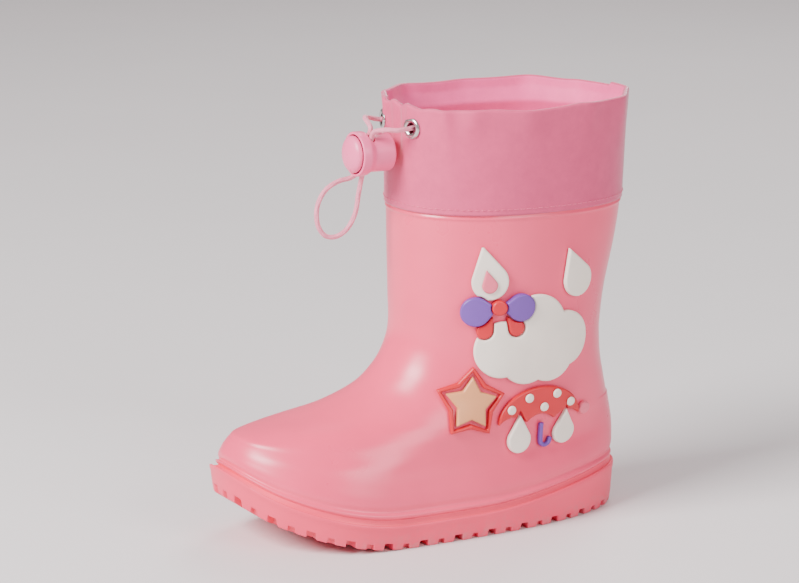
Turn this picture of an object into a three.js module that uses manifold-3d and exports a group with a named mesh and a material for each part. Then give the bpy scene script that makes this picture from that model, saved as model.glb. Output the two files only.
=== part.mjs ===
// A child's waterproof boot, left foot, with a drawcord collar and a raised patch on the outer side.
// Millimetres. +X points to the toe, +Y to the wearer's left (the outer side), +Z up.
// The origin is on the ground, under the middle of the boot.
import * as THREE from 'three';
import { mergeVertices } from 'three/addons/utils/BufferGeometryUtils.js';
import Module from 'manifold-3d';

const wasm = await Module();
wasm.setup();

// ---------------------------------------------------------------- driving dimensions

const soleLength = 196;        // heel to toe over the rim
const ballWidth = 78.6;        // over the rim, at its widest
const rimHeight = 11.3;        // rim of the outsole at the ball
const toeSpring = 20.4;        // how far the toe tip is lifted off the ground
const springStart = 74.5;      // the lift starts this far behind the toe tip
const tipLift = 3;             // the tip turns up by this much more
const tipLength = 18;
const rimLip = 1.3;            // the rim rises by this much where it meets the shell
const heelRise = 8.2;          // the heel sits this much higher than the ball
const heelRiseLength = 88;     // the rise fades out this far in front of the heel
const sweep = 8.8;             // how far the toe tip curves inward
const waist = 4;               // how far the arch side is drawn in
const waistInset = 68;         // the arch's middle, in from the heel
const waistLength = 30;        // the arch fades out over this length on each side
const liftFadeStart = 10;      // above this height the lifted toe and heel level out
const liftFadeLength = 48;
const lugHeight = 3.2;
const lugPitch = 9;
const notchWidth = 4.4;
const notchReach = 8;
const treadMargin = 7;         // from the notches to the grooves
const grooveWidth = 3.6;
const groovePitch = 16;

const shellWall = 2.2;
const shellFloor = 7;          // underside of the boot shell inside the sole
const floorWall = 2.5;
const ankleHeight = 88;
const ankleLength = 99.2;
const ankleWidth = 72.8;
const ankleInset = 12;         // back of the ankle, in from the heel
const shaftHeight = 152;
const shaftLength = 109.8;
const shaftWidth = 78.2;
const shaftInset = 3;          // back of the shaft's top, in from the heel
const weltHeight = 15.2;
const weltBulge = 1.2;
const beadDrop = 1.6;          // bead under the collar's hem
const beadBulge = 0.5;

const liningGap = 0.7;         // between the shell and its lining
const liningWall = 1.0;
const liningDrop = 21;         // the lining ends this far below the shaft's top
const insoleClearance = 0.6;
const foamThickness = 3.2;
const coverThickness = 0.8;

const cloth = 0.7;
const hemDrop = 7.5;           // the collar's outer hem, below the shaft's top
const innerHemDrop = 19;
const collarRise = 41;         // the collar's top, above the shaft's top
const collarLength = 113.4;
const collarWidth = 87.4;
const collarInset = 1.6;       // back of the collar's top, in from the heel
const channel = 3.6;           // room between the two cloth layers

const eyeletDrop = 11.5;       // eyelet centre below the collar's top
const eyeletBore = 5;
const eyeletBarrel = 5.8;
const eyeletFlange = 9.4;
const eyeletThickness = 0.9;
const washerThickness = 0.35;

const cordDiameter = 2.2;
const cordGap = 1.5;           // each strand's distance from the cord lock's middle plane

const lockRadius = 9.8;
const lockBarrelRadius = 8.4;
const lockWall = 1.5;
const lockRim = 5;             // rim in front of the lock's origin
const lockBack = 11.7;         // back of the lock behind its origin
const lockDrop = 11.9;         // the lock's origin, below the eyelets
const lockStandoff = 3.3;      // from the collar to the lock's back
const lockRoll = -0.44;        // the lock hangs turned about its own axis, radians
const buttonTravel = 3.5;
const buttonRadius = 8.1;
const buttonDome = 3.1;
const stemRadius = 5.7;
const springWire = 0.7;
const springTurns = 3;          // each turn lies inside the next when the spring is pressed flat

const patchInset = 60;         // the line the patch is placed around, in from the heel
const patchTurn = 77;          // degrees from straight ahead to the patch's middle
const patchClearance = 0.6;    // between the patch and the shell
const patchParting = 0.5;      // between neighbouring patch pieces
const patchBase = 1.7;         // thickness of the patch's base pieces
const patchRaised = 2.9;       // thickness of its raised pieces
const patchDot = 0.8;          // thickness of what lies on a base piece

const gap = 0.3;               // between pieces that touch
const SEGMENTS = 36;           // points around each plan outline

// ---------------------------------------------------------------- the boot's form

const heel = -soleLength / 2;
const toe = soleLength / 2;
const ankleFront = heel + ankleInset + ankleLength;
const hemHeight = shaftHeight - hemDrop;
const innerHemHeight = shaftHeight - innerHemDrop;
const collarHeight = shaftHeight + collarRise;
const widestInset = 64.4;      // the ball's widest place, behind the toe tip

const mix = (a, b, t) => a + (b - a) * t;
const clamp = (v, lo = 0, hi = 1) => Math.min(hi, Math.max(lo, v));
const smooth = (v) => clamp(v) ** 2 * (3 - 2 * clamp(v));

// One section: height, front, back, half width, nose length, and how foot-like (1) or shaft-like (0) it is.
function footSection([height, reach, inset, width, nose, footness]) {
  const front = mix(ankleFront, toe, reach);
  return [height, front, heel + inset, (width * ballWidth) / 2, nose, footness];
}

function shaftSection([up, towardsTop]) {
  const length = mix(ankleLength, shaftLength, towardsTop);
  const back = heel + mix(ankleInset, shaftInset, towardsTop);
  const half = mix(ankleWidth, shaftWidth, up) / 2;
  return [mix(ankleHeight, shaftHeight, up), back + length, back, half, length / 2, 0];
}

// height, reach from the ankle to the toe, inset from the heel, share of the ball's width, nose, footness
const sections = [
  [shellFloor, 0.882, 7.0, 0.865, 57, 1],
  [12, 0.945, 3.5, 0.94, 60, 1],
  [20, 0.957, 1.8, 0.957, 60, 1],
  [28, 0.945, 1.4, 0.921, 60, 1],
  [35, 0.93, 1.6, 0.88, 62, 1],
  [41, 0.91, 2.6, 0.855, 74, 1],
  [45.5, 0.875, 3.7, 0.848, 84, 0.98],
  [50, 0.74, 5.0, 0.849, 88, 0.93],
  [55, 0.46, 6.4, 0.85, 74, 0.8],
  [62, 0.236, 8.4, 0.86, 64, 0.53],
  [70, 0.114, 10.3, 0.875, 58, 0.2],
  [78, 0.043, 11.5, 0.898, 54, 0.03],
].map(footSection).concat([[0, 0], [0.26, 0.2], [0.57, 0.68], [0.82, 0.95], [1, 1]].map(shaftSection));

// Sections between the listed ones lie on Catmull-Rom curves through them.
function sectionAt(t) {
  const i = Math.min(Math.floor(t), sections.length - 2);
  const f = t - i;
  const at = (k) => sections[clamp(k, 0, sections.length - 1)];
  return sections[i].map((_, k) => {
    const [a, b, c, d] = [at(i - 1)[k], at(i)[k], at(i + 1)[k], at(i + 2)[k]];
    return b + 0.5 * f * (c - a + f * (2 * a - 5 * b + 4 * c - d + f * (3 * (b - c) + d - a)));
  });
}

function levelOf(height) {
  let [lo, hi] = [0, sections.length - 1];
  for (let i = 0; i < 40; i += 1) {
    const mid = (lo + hi) / 2;
    if (sectionAt(mid)[0] < height) lo = mid;
    else hi = mid;
  }
  return (lo + hi) / 2;
}

// A point of a section's egg-shaped outline, grown outward by an offset.
function outlinePoint(section, angle, grow = 0) {
  const [, front, back, half, nose, footness] = section;
  const widest = front - nose;
  const [c, s] = [Math.cos(angle), Math.sin(angle)];
  const power = c > 0 ? 2.2 : mix(2.3, 3.1, footness);
  const reach = (c > 0 ? front - widest : widest - back) + grow;
  const x = widest + Math.sign(c) * reach * Math.abs(c) ** (2 / power);
  const arch = s < 0 ? waist * footness * Math.exp(-(((x - heel - waistInset) / waistLength) ** 2)) : 0;
  const inward = sweep * footness * clamp((x - widest) / (toe - widest), 0, 2) ** 2;
  return [x, Math.sign(s) * (half + grow) * Math.abs(s) ** (2 / 2.25) + arch - inward];
}

// The toe is lifted and the heel raised; both fade out up the boot.
const rise = (x, height, length) => height * clamp((x - (toe - length)) / length) ** 2;
const toeLift = (x) => rise(x, toeSpring, springStart) + rise(x, tipLift, tipLength);
const heelLift = (x) => heelRise * smooth((heel + heelRiseLength - x) / heelRiseLength);
const fade = (z) => 1 - smooth((z - liftFadeStart) / liftFadeLength);

function lifted(x, y, z) {
  return new THREE.Vector3(x, y, z + (toeLift(x) + heelLift(x)) * fade(z));
}

const angles = Array.from({ length: SEGMENTS }, (_, i) => (i * 2 * Math.PI) / SEGMENTS);

function ring(section, grow = 0, height = section[0]) {
  return angles.map((a) => lifted(...outlinePoint(section, a, grow), height));
}

// The ring of a wall's inner face, moved in square to the front profile.
function innerRing(t, depth, lowest) {
  const section = sectionAt(t);
  const below = sectionAt(Math.max(t - 0.05, 0));
  const above = sectionAt(Math.min(t + 0.05, sections.length - 1));
  const slope = Math.atan2(below[1] - above[1], above[0] - below[0]);
  const lean = clamp(slope, 0, Math.PI / 2);
  const moved = [...section];
  moved[1] -= depth * Math.cos(lean) - depth;
  return ring(moved, -depth, Math.max(section[0] - depth * Math.sin(lean), lowest));
}

// ---------------------------------------------------------------- making solids

// Joins rings of points into one skin: capped at both ends, or closed on itself.
function loft(rings, closed = false) {
  const n = rings[0].length;
  const index = [];
  const last = closed ? rings.length : rings.length - 1;
  for (let r = 0; r < last; r += 1) {
    const [low, high] = [r * n, ((r + 1) % rings.length) * n];
    for (let i = 0; i < n; i += 1) {
      const j = (i + 1) % n;
      index.push(low + i, low + j, high + j, low + i, high + j, high + i);
    }
  }
  const cap = (base, flip) => {
    for (let i = 0; i < n / 2; i += 1) {
      const [a, b, c, d] = [i, i + 1, n - i - 1, (n - i) % n].map((k) => base + k);
      if (b !== c) index.push(...(flip ? [a, c, b] : [a, b, c]));
      if (a !== d) index.push(...(flip ? [a, d, c] : [a, c, d]));
    }
  };
  if (!closed) {
    cap(0, true);
    cap((rings.length - 1) * n, false);
  }
  const geometry = new THREE.BufferGeometry().setFromPoints(rings.flat());
  geometry.setIndex(index);
  return geometry;
}

// A closed geometry as a manifold solid, moved by a matrix.
function solid(geometry, matrix = new THREE.Matrix4()) {
  const bare = geometry.clone().applyMatrix4(matrix);
  ['normal', 'uv'].forEach((name) => bare.deleteAttribute(name));
  const merged = mergeVertices(bare, 1e-4);
  const corners = [...merged.index.array];
  const faces = [];
  for (let i = 0; i < corners.length; i += 3) {
    const face = corners.slice(i, i + 3);
    if (new Set(face).size === 3) faces.push(...face);
  }
  return new wasm.Manifold(new wasm.Mesh({
    numProp: 3,
    vertProperties: new Float32Array(merged.attributes.position.array),
    triVerts: new Uint32Array(faces),
  }));
}

function geometryOf(manifold) {
  const { vertProperties, triVerts } = manifold.getMesh();
  const geometry = new THREE.BufferGeometry();
  geometry.setAttribute('position', new THREE.BufferAttribute(new Float32Array(vertProperties), 3));
  geometry.setIndex([...triVerts]);
  return geometry;
}

function move(x, y, z, turn = 0) {
  return new THREE.Matrix4().makeRotationZ(turn).setPosition(x, y, z);
}

const cutAll = (body, tools) => tools.reduce((left, tool) => left.subtract(tool), body);
const joinAll = (parts) => parts.reduce((sum, next) => sum.add(next));

// Splits edges longer than a limit, so that a flat piece can be bent.
function splitEdges(geometry, limit) {
  const points = [];
  const from = geometry.attributes.position;
  for (let i = 0; i < from.count; i += 1) points.push(new THREE.Vector3().fromBufferAttribute(from, i));
  let faces = [];
  const corners = geometry.index.array;
  for (let i = 0; i < corners.length; i += 3) faces.push([corners[i], corners[i + 1], corners[i + 2]]);
  for (let again = true; again;) {
    again = false;
    const middles = new Map();
    const middle = (a, b) => {
      const key = a < b ? `${a},${b}` : `${b},${a}`;
      if (points[a].distanceTo(points[b]) <= limit) return -1;
      if (!middles.has(key)) middles.set(key, points.push(points[a].clone().lerp(points[b], 0.5)) - 1);
      return middles.get(key);
    };
    const next = [];
    for (const face of faces) {
      const mids = [0, 1, 2].map((k) => middle(face[k], face[(k + 1) % 3]));
      const start = mids.findIndex((m, k) => m >= 0 && mids[(k + 2) % 3] < 0);
      const count = mids.filter((m) => m >= 0).length;
      if (count > 0) again = true;
      const k = Math.max(start, 0);
      const [a, b, c] = [0, 1, 2].map((i) => face[(k + i) % 3]);
      const [ab, bc, ca] = [0, 1, 2].map((i) => mids[(k + i) % 3]);
      if (count === 0) next.push(face);
      if (count === 1) next.push([a, ab, c], [ab, b, c]);
      if (count === 2) next.push([ab, b, bc], [a, ab, bc], [a, bc, c]);
      if (count === 3) next.push([a, ab, ca], [ab, b, bc], [ca, bc, c], [ab, bc, ca]);
    }
    faces = next;
  }
  const result = new THREE.BufferGeometry().setFromPoints(points);
  result.setIndex(faces.flat());
  return result;
}

function bend(geometry, rule) {
  const position = geometry.attributes.position;
  for (let i = 0; i < position.count; i += 1) {
    position.setXYZ(i, ...rule(position.getX(i), position.getY(i), position.getZ(i)));
  }
  return geometry;
}

const boot = new THREE.Group();

function addTo(group, name, geometry, color, roughness, metalness = 0) {
  const mesh = new THREE.Mesh(geometry, new THREE.MeshStandardMaterial({ color, roughness, metalness }));
  mesh.name = name;
  group.add(mesh);
  return mesh;
}

const add = (...piece) => addTo(boot, ...piece);

// ---------------------------------------------------------------- boot shell, lining and insole

const topLevel = sections.length - 1;
const levels = (from, to, count) => Array.from({ length: count + 1 }, (_, i) => mix(from, to, i / count));

// The shell's inner face and the lining share these levels, so that one lies inside the other.
const insideLevels = levels(levelOf(shellFloor + floorWall), topLevel, 17);

function bootShell() {
  const outer = levels(0, topLevel, 20).map((t) => ring(sectionAt(t)));
  const bulge = (height, grow) => ring(sectionAt(levelOf(height)), grow);
  const welt = [[-1.9, 0], [-0.8, weltBulge], [0.8, weltBulge], [1.9, 0]]
    .map(([up, grow]) => bulge(weltHeight + up, grow));
  const bead = [[-1.4, 0], [-0.5, beadBulge], [0.5, beadBulge], [1.2, 0]]
    .map(([up, grow]) => bulge(hemHeight - beadDrop + up, grow));
  const keep = (span) => (r) => r[9].z < span[0][9].z - 1 || r[9].z > span.at(-1)[9].z + 1;
  const outside = [...outer.filter(keep(welt)).filter(keep(bead)), ...welt, ...bead];
  outside.sort((a, b) => a[9].z - b[9].z);
  const inner = insideLevels.map((t) => innerRing(t, shellWall, shellFloor + floorWall));
  return loft([...outside, ...inner.reverse()]);
}

const liningDepth = shellWall + liningGap;
const liningFloor = shellFloor + floorWall + gap;

function sockLining() {
  const top = levelOf(shaftHeight - liningDrop);
  const steps = [...insideLevels.filter((t) => t < top - 0.1), top];
  const inside = liningDepth + liningWall;
  const outer = steps.map((t) => innerRing(t, liningDepth, liningFloor));
  const inner = steps.map((t) => innerRing(t, inside, liningFloor + liningWall));
  inner.at(-1).forEach((point, i) => {
    point.z = outer.at(-1)[i].z;
  });
  return loft([...outer, ...inner.reverse()]);
}

// A sheet that lies on the lining's floor.
function insoleSheet(height, thickness) {
  const section = sectionAt(insideLevels[0]);
  const grow = -(liningDepth + liningWall + insoleClearance);
  return loft([ring(section, grow, height), ring(section, grow, height + thickness)]);
}

const foamHeight = liningFloor + liningWall + gap;
const coverHeight = foamHeight + foamThickness + gap;
add('boot_shell', bootShell(), '#e8768a', 0.32);
add('sock_lining', sockLining(), '#e9b9c4', 0.95);
add('insole_foam', insoleSheet(foamHeight, foamThickness), '#f3e9e6', 0.9);
add('insole_cover', insoleSheet(coverHeight, coverThickness), '#e7a9b7', 0.95);

// ---------------------------------------------------------------- outsole

// The outsole's plan, drawn in from the rim.
function solePoint(angle, inset) {
  const rim = [0, toe, heel, ballWidth / 2, widestInset, 1];
  return outlinePoint(rim, angle, -inset);
}

function outsole() {
  const flat = (inset, z) => angles.map((a) => new THREE.Vector3(...solePoint(a, inset), z));
  const socket = (height, z) => {
    const section = sectionAt(levelOf(height));
    return angles.map((a) => new THREE.Vector3(...outlinePoint(section, a, gap), z));
  };
  const body = solid(loft([
    flat(1.6, 0),
    flat(1.1, lugHeight),
    flat(0.4, rimHeight - 2),
    flat(0, rimHeight - 0.8),
    flat(0.3, rimHeight),
    flat(1.2, rimHeight),
    ...[1, 0.75, 0.5, 0.25].map((t) => mix(shellFloor, rimHeight + rimLip, t)).map((z) => socket(z, z)),
    socket(shellFloor, shellFloor - gap),
  ]));
  const tread = cutAll(body, [...edgeNotches(), ...treadGrooves()]);
  return bend(splitEdges(geometryOf(tread), 22), (x, y, z) => {
    const up = smooth((z - lugHeight) / (rimHeight - lugHeight));
    return [x, y, z + toeLift(x) * fade(z) + heelLift(x) * up * fade(z)];
  });
}

// Notches around the edge of the tread, every second one short and narrow.
function edgeNotches() {
  const turns = Array.from({ length: 721 }, (_, i) => (i * Math.PI) / 360);
  const fine = turns.map((angle) => new THREE.Vector2(...solePoint(angle, 0)));
  const walk = [0];
  for (let i = 1; i < fine.length; i += 1) walk.push(walk[i - 1] + fine[i].distanceTo(fine[i - 1]));
  const count = 2 * Math.round(walk.at(-1) / lugPitch / 2);
  return Array.from({ length: count }, (_, k) => {
    const at = walk.findIndex((s) => s >= ((k + 0.5) * walk.at(-1)) / count);
    const along = fine[at].clone().sub(fine[at - 1]);
    const reach = k % 2 ? notchReach : notchReach / 2;
    const width = k % 2 ? notchWidth : notchWidth * 0.75;
    const box = new THREE.BoxGeometry(width, 2 * reach, 2 * lugHeight * (k % 2 ? 1 : 0.8));
    return solid(box, move(fine[at].x, fine[at].y, 0, along.angle()));
  });
}

// Chevron grooves across the middle of the tread, pointing to the toe.
function treadGrooves() {
  const half = ballWidth / 2 - notchReach - treadMargin;
  const count = Math.floor((soleLength - 50) / groovePitch);
  const start = -((count - 1) * groovePitch) / 2;
  const slant = Math.PI / 7;
  return Array.from({ length: count }, (_, k) => {
    const x = start + k * groovePitch;
    const narrow = clamp(1 - Math.max(-x - 30, x - 55, 0) / 90, 0.55);
    const arm = (half * narrow) / Math.cos(slant);
    const box = new THREE.BoxGeometry(grooveWidth, arm, 2 * lugHeight);
    const middle = -sweep * clamp((x - (toe - widestInset)) / widestInset) ** 2;
    return [1, -1].map((side) => solid(box, move(
      x - Math.sin(slant) * arm * 0.5,
      middle + side * Math.cos(slant) * arm * 0.5,
      0,
      side * slant,
    )));
  }).flat();
}

add('outsole', outsole(), '#ea6f85', 0.4);

// ---------------------------------------------------------------- cloth collar

// The collar's outer face: it follows the shaft over the hem, then widens to its top.
function collarSection(z) {
  const [, front, back, half] = sectionAt(levelOf(Math.min(z, shaftHeight)));
  const over = gap + cloth;
  const k = clamp((z - shaftHeight) / (collarHeight - shaftHeight));
  const topBack = heel + collarInset;
  const [f, b] = [mix(front + over, topBack + collarLength, k), mix(back - over, topBack, k)];
  return [z, f, b, mix(half + over, collarWidth / 2, k), (f - b) / 2, 0];
}

const room = (z) => mix(shellWall + 2 * gap, channel, smooth((z - shaftHeight - 1) / 8));

function collarFabric() {
  const face = (depth) => (z) => ring(collarSection(z), -depth(z), z);
  const middle = mix(shaftHeight, collarHeight, 0.6);
  const heights = [hemHeight, shaftHeight, shaftHeight + 9, middle, collarHeight - 1];
  const lower = [innerHemHeight, ...heights];
  const layers = (z) => 2 * cloth + room(z);
  const under = (z) => Math.min(z, collarHeight - cloth);
  return loft([
    ...heights.map(face(() => 0)),
    ring(collarSection(collarHeight), -0.9, collarHeight),
    ring(collarSection(collarHeight), 0.9 - layers(collarHeight), collarHeight),
    ...lower.map(face(layers)).reverse(),
    ...lower.map(under).map(face((z) => cloth + room(z))),
    ...heights.map(under).map(face(() => cloth)).reverse(),
  ], true);
}

// The eyelets sit in the middle of the second facet on each side of the front.
const eyeletZ = collarHeight - eyeletDrop;
const facet = angles.slice(1, 3).map((a) => new THREE.Vector2(...outlinePoint(collarSection(eyeletZ), a)));
const eyeletSpot = facet[0].clone().add(facet[1]).multiplyScalar(0.5);
const eyeletTurn = facet[1].clone().sub(facet[0]).angle() - Math.PI / 2;

// A frame at one eyelet whose +Z points out of the collar.
function eyeletFrame(side) {
  return new THREE.Matrix4()
    .makeRotationZ(side * eyeletTurn)
    .multiply(new THREE.Matrix4().makeRotationY(Math.PI / 2))
    .setPosition(eyeletSpot.x, side * eyeletSpot.y, eyeletZ);
}

const sides = [['outer', 1], ['inner', -1]];
const punchRadius = eyeletBarrel / 2 + gap;
const punch = new THREE.CylinderGeometry(punchRadius, punchRadius, 2 * (cloth + gap), 24);
punch.rotateX(Math.PI / 2);
const punches = sides.map(([, side]) => solid(punch, eyeletFrame(side)));
add('collar_fabric', geometryOf(cutAll(solid(collarFabric()), punches)), '#d4829c', 0.75);

// A ring turned from a closed profile of radius and height pairs.
function turned(profile, steps = 20) {
  const points = [...profile, profile[0]].map(([r, z]) => new THREE.Vector2(r, z));
  return new THREE.LatheGeometry(points, steps).rotateX(Math.PI / 2);
}

const eyeletRing = turned([
  [eyeletBore / 2, -cloth],
  [eyeletBarrel / 2, -cloth],
  [eyeletBarrel / 2, gap],
  [eyeletFlange / 2, gap],
  [eyeletFlange / 2, gap + eyeletThickness * 0.4],
  [(eyeletFlange + eyeletBore) / 4, gap + eyeletThickness],
  [eyeletBore / 2, gap + eyeletThickness * 0.5],
]);
const washerRing = turned([
  [eyeletBarrel / 2 + gap, -cloth - 0.2 - washerThickness],
  [eyeletFlange / 2 - 0.7, -cloth - 0.2 - washerThickness],
  [eyeletFlange / 2 - 0.7, -cloth - 0.2],
  [eyeletBarrel / 2 + gap, -cloth - 0.2],
]);

for (const [name, side] of sides) {
  for (const [part, shape] of [['eyelet', eyeletRing], ['eyelet_washer', washerRing]]) {
    const mesh = add(`${part}_${name}`, shape.clone(), '#c9c7c4', 0.25, 1);
    mesh.applyMatrix4(eyeletFrame(side));
  }
}

// ---------------------------------------------------------------- drawcord

function cordAlong(points, steps) {
  const round = new THREE.Shape().absarc(0, 0, cordDiameter / 2, 0, 2 * Math.PI);
  const path = new THREE.CatmullRomCurve3(points, false, 'centripetal');
  const settings = { steps, curveSegments: 4, extrudePath: path, bevelEnabled: false };
  return geometryOf(solid(new THREE.ExtrudeGeometry(round, settings)));
}

// The stretch inside the collar runs from behind one eyelet, around the back, to behind the other.
const cordDepth = cloth + channel / 2;
const casingRun = angles.slice(2, SEGMENTS - 1).map((a) => {
  const [x, y] = outlinePoint(collarSection(eyeletZ), a, -cordDepth);
  return new THREE.Vector3(x, y, eyeletZ);
});
for (const [, side] of sides) {
  const end = new THREE.Vector3(0, side * (-cordDiameter / 2 - 0.6), -cordDepth);
  const turnedEnd = new THREE.Vector3(end.z, 0, 0);
  const tangent = new THREE.Vector3(-Math.sin(side * eyeletTurn), Math.cos(side * eyeletTurn), 0);
  const normal = new THREE.Vector3(Math.cos(side * eyeletTurn), Math.sin(side * eyeletTurn), 0);
  const spot = new THREE.Vector3(eyeletSpot.x, side * eyeletSpot.y, eyeletZ);
  const tip = spot.addScaledVector(normal, turnedEnd.x).addScaledVector(tangent, end.y);
  if (side > 0) casingRun.unshift(tip);
  else casingRun.push(tip);
}
add('drawcord_in_collar', cordAlong(casingRun, 60), '#f0b4c4', 0.8);

const holeHeight = cordDiameter + 1.1;
const holeWidth = 2 * cordGap + cordDiameter + 1.2;
const holeMiddle = -0.9;

// The free stretch: out of the outer eyelet, through the lock, around the loop and back.
const out = (side, distance) => new THREE.Vector3(distance, 0, 0)
  .applyAxisAngle(new THREE.Vector3(0, 0, 1), side * eyeletTurn)
  .add(new THREE.Vector3(eyeletSpot.x, side * eyeletSpot.y, eyeletZ));
const stub = -cordDepth + cordDiameter / 2 + gap;
const lockZ = eyeletZ - lockDrop;
const lockSpot = new THREE.Vector3(collarSection(lockZ)[1] + lockStandoff + lockBack, 0, lockZ);
const nearLock = (x, y, z) => new THREE.Vector3(x, y, z).add(lockSpot);

// A point of a strand inside the lock: along the hole, upward, on the outer (1) or inner (-1) side.
function inLock(up, side) {
  const [across, along] = [side * cordGap, up];
  const y = across * Math.cos(lockRoll) - along * Math.sin(lockRoll);
  const z = across * Math.sin(lockRoll) + along * Math.cos(lockRoll);
  return new THREE.Vector3(lockSpot.x + holeMiddle, lockSpot.y + y, lockSpot.z + z);
}

const freeRun = [
  out(1, stub),
  out(1, 2.2),
  nearLock(-9, 13.9, 11.6),
  nearLock(-3.9, 11.2, 11.8),
  inLock(11.8, 1),
  inLock(7, 1),
  inLock(0, 1),
  inLock(-9.6, 1),
  nearLock(-0.4, -5.2, -18.6),
  nearLock(1.1, -5.8, -28.1),
  nearLock(4.9, -6.6, -34.8),
  nearLock(10.2, -7.4, -37.6),
  nearLock(15.3, -8, -36.2),
  nearLock(18.3, -8.4, -30.6),
  nearLock(17.9, -8.6, -22.6),
  nearLock(13.7, -8.6, -16.2),
  nearLock(7.3, -8.4, -13),
  nearLock(1.9, -7.2, -11.6),
  inLock(-9.6, -1),
  inLock(0, -1),
  inLock(7, -1),
  inLock(12.2, -1),
  nearLock(-2.7, -4.4, 14.6),
  nearLock(-8.7, -12.2, 13.2),
  out(-1, 2.2),
  out(-1, stub),
];
add('drawcord_loop', cordAlong(freeRun, 72), '#f0b4c4', 0.8);

// ---------------------------------------------------------------- cord lock

// The lock's own frame: +Z out of the button, the cord hole along X.
const lock = new THREE.Group();
lock.position.copy(lockSpot);
lock.rotation.set(0, Math.PI / 2, lockRoll);
boot.add(lock);

const bore = stemRadius + 0.4;
const seat = lockRim - gap - buttonTravel - 0.1;
const springTop = holeMiddle - holeHeight / 2 - 1.6;

function lockBody() {
  const cup = turned([
    [0, -lockBack],
    [lockBarrelRadius - 1.4, -lockBack],
    [lockBarrelRadius, -lockBack + 1.6],
    [lockBarrelRadius, -1.5],
    [lockRadius, 1],
    [lockRadius, lockRim - 1.1],
    [lockRadius - 0.8, lockRim],
    [buttonRadius + 0.4, lockRim],
    [buttonRadius + 0.4, seat],
    [bore, seat],
    [bore, -lockBack + lockWall],
    [0, -lockBack + lockWall],
  ], 26);
  const hole = new THREE.BoxGeometry(3 * lockRadius, holeWidth, holeHeight);
  return geometryOf(solid(cup).subtract(solid(hole, move(0, 0, holeMiddle))));
}

function lockButton() {
  const under = lockRim - gap;
  const dome = Array.from({ length: 5 }, (_, i) => {
    const a = (i / 4) * (Math.PI / 2);
    return [buttonRadius * Math.cos(a), under + 1 + buttonDome * Math.sin(a)];
  });
  const stem = [[0, springTop], [stemRadius, springTop], [stemRadius, under], [buttonRadius, under]];
  const piece = turned([...stem, ...dome], 26);
  const slot = new THREE.BoxGeometry(3 * lockRadius, holeWidth, holeHeight + buttonTravel);
  return geometryOf(solid(piece).subtract(solid(slot, move(0, 0, holeMiddle + buttonTravel / 2))));
}

function lockSpring() {
  const [low, high] = [-lockBack + lockWall + springWire / 2 + gap, springTop - springWire / 2 - gap];
  const foot = stemRadius - springWire;
  const coil = Array.from({ length: 12 * springTurns + 1 }, (_, i) => {
    const [a, k] = [(i / 12) * 2 * Math.PI, i / (12 * springTurns)];
    const radius = foot - k * springTurns * (springWire + 0.3);
    return new THREE.Vector3(radius * Math.cos(a), radius * Math.sin(a), mix(low, high, k));
  });
  const wire = new THREE.Shape().absarc(0, 0, springWire / 2, 0, 2 * Math.PI);
  const path = new THREE.CatmullRomCurve3(coil);
  const settings = { steps: 12 * springTurns, curveSegments: 3, extrudePath: path, bevelEnabled: false };
  return geometryOf(solid(new THREE.ExtrudeGeometry(wire, settings)));
}

addTo(lock, 'cord_lock_body', lockBody(), '#ee9cb8', 0.4);
addTo(lock, 'cord_lock_button', lockButton(), '#f2a4bf', 0.38);
addTo(lock, 'cord_lock_spring', lockSpring(), '#b8b8ba', 0.3, 1);

// ---------------------------------------------------------------- picture patch

// Flat patch shapes are drawn with x around the shaft and y up, then wrapped at true size onto the
// shell's outer side. x is 0 where the shell is crossed by this direction from the shaft's middle.
const patchMiddle = heel + patchInset;
const patchDirection = (patchTurn * Math.PI) / 180;
const halfTurn = Array.from({ length: 241 }, (_, i) => (i * Math.PI) / 240);

function ontoShell(u, v, w) {
  const section = sectionAt(levelOf(v));
  const outline = halfTurn.map((angle) => new THREE.Vector2(...outlinePoint(section, angle)));
  const start = outline.findIndex((p) => Math.atan2(p.y, p.x - patchMiddle) >= patchDirection);
  const step = u < 0 ? -1 : 1;
  let [i, walked] = [start, 0];
  let stride = outline[i].distanceTo(outline[i + step]);
  while (walked + stride < Math.abs(u)) {
    walked += stride;
    i += step;
    stride = outline[i].distanceTo(outline[i + step]);
  }
  const spot = outline[i].clone().lerp(outline[i + step], (Math.abs(u) - walked) / stride);
  const along = outline[i + step].clone().sub(outline[i]).multiplyScalar(step / stride);
  return lifted(spot.x + along.y * w, spot.y - along.x * w, v).toArray();
}

function extrude(shape, low, high) {
  const outline = shape.getPoints(7).filter((p, i, all) => p.distanceTo(all[(i + 1) % all.length]) > 1e-3);
  const depth = high - low;
  const plate = new THREE.ExtrudeGeometry(new THREE.Shape(outline), { depth, bevelEnabled: false });
  return solid(plate, move(0, 0, patchClearance + low));
}
const disc = (x, y, radius) => new THREE.Shape().absarc(x, y, radius, 0, 2 * Math.PI);

// A small piece stays flat: it lies on the plane that touches the shell at (x, y).
function flatPiece(shape, x, y, low, high) {
  const touch = (u, v) => new THREE.Vector3(...ontoShell(x + u, y + v, 0));
  const [middle, ahead, above] = [touch(0, 0), touch(0.5, 0), touch(0, 0.5)];
  const along = ahead.sub(middle).normalize();
  const outward = along.clone().cross(above.sub(middle)).normalize();
  const across = outward.clone().cross(along);
  const frame = new THREE.Matrix4().makeBasis(along, across, outward).setPosition(middle);
  return extrude(shape, low, high).translate([-x, -y, 0]).transform(frame.elements);
}

// A drop: a round end about (x, y) and a tip at a distance in a direction.
function drop(x, y, radius, tip, direction, grow = 0) {
  const [r, d] = [radius + grow, ((radius + grow) * tip) / radius];
  const spread = Math.acos(r / d);
  const shape = new THREE.Shape();
  shape.absarc(x, y, r, direction + spread, direction - spread + 2 * Math.PI);
  shape.lineTo(x + d * Math.cos(direction), y + d * Math.sin(direction));
  return shape;
}

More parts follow.
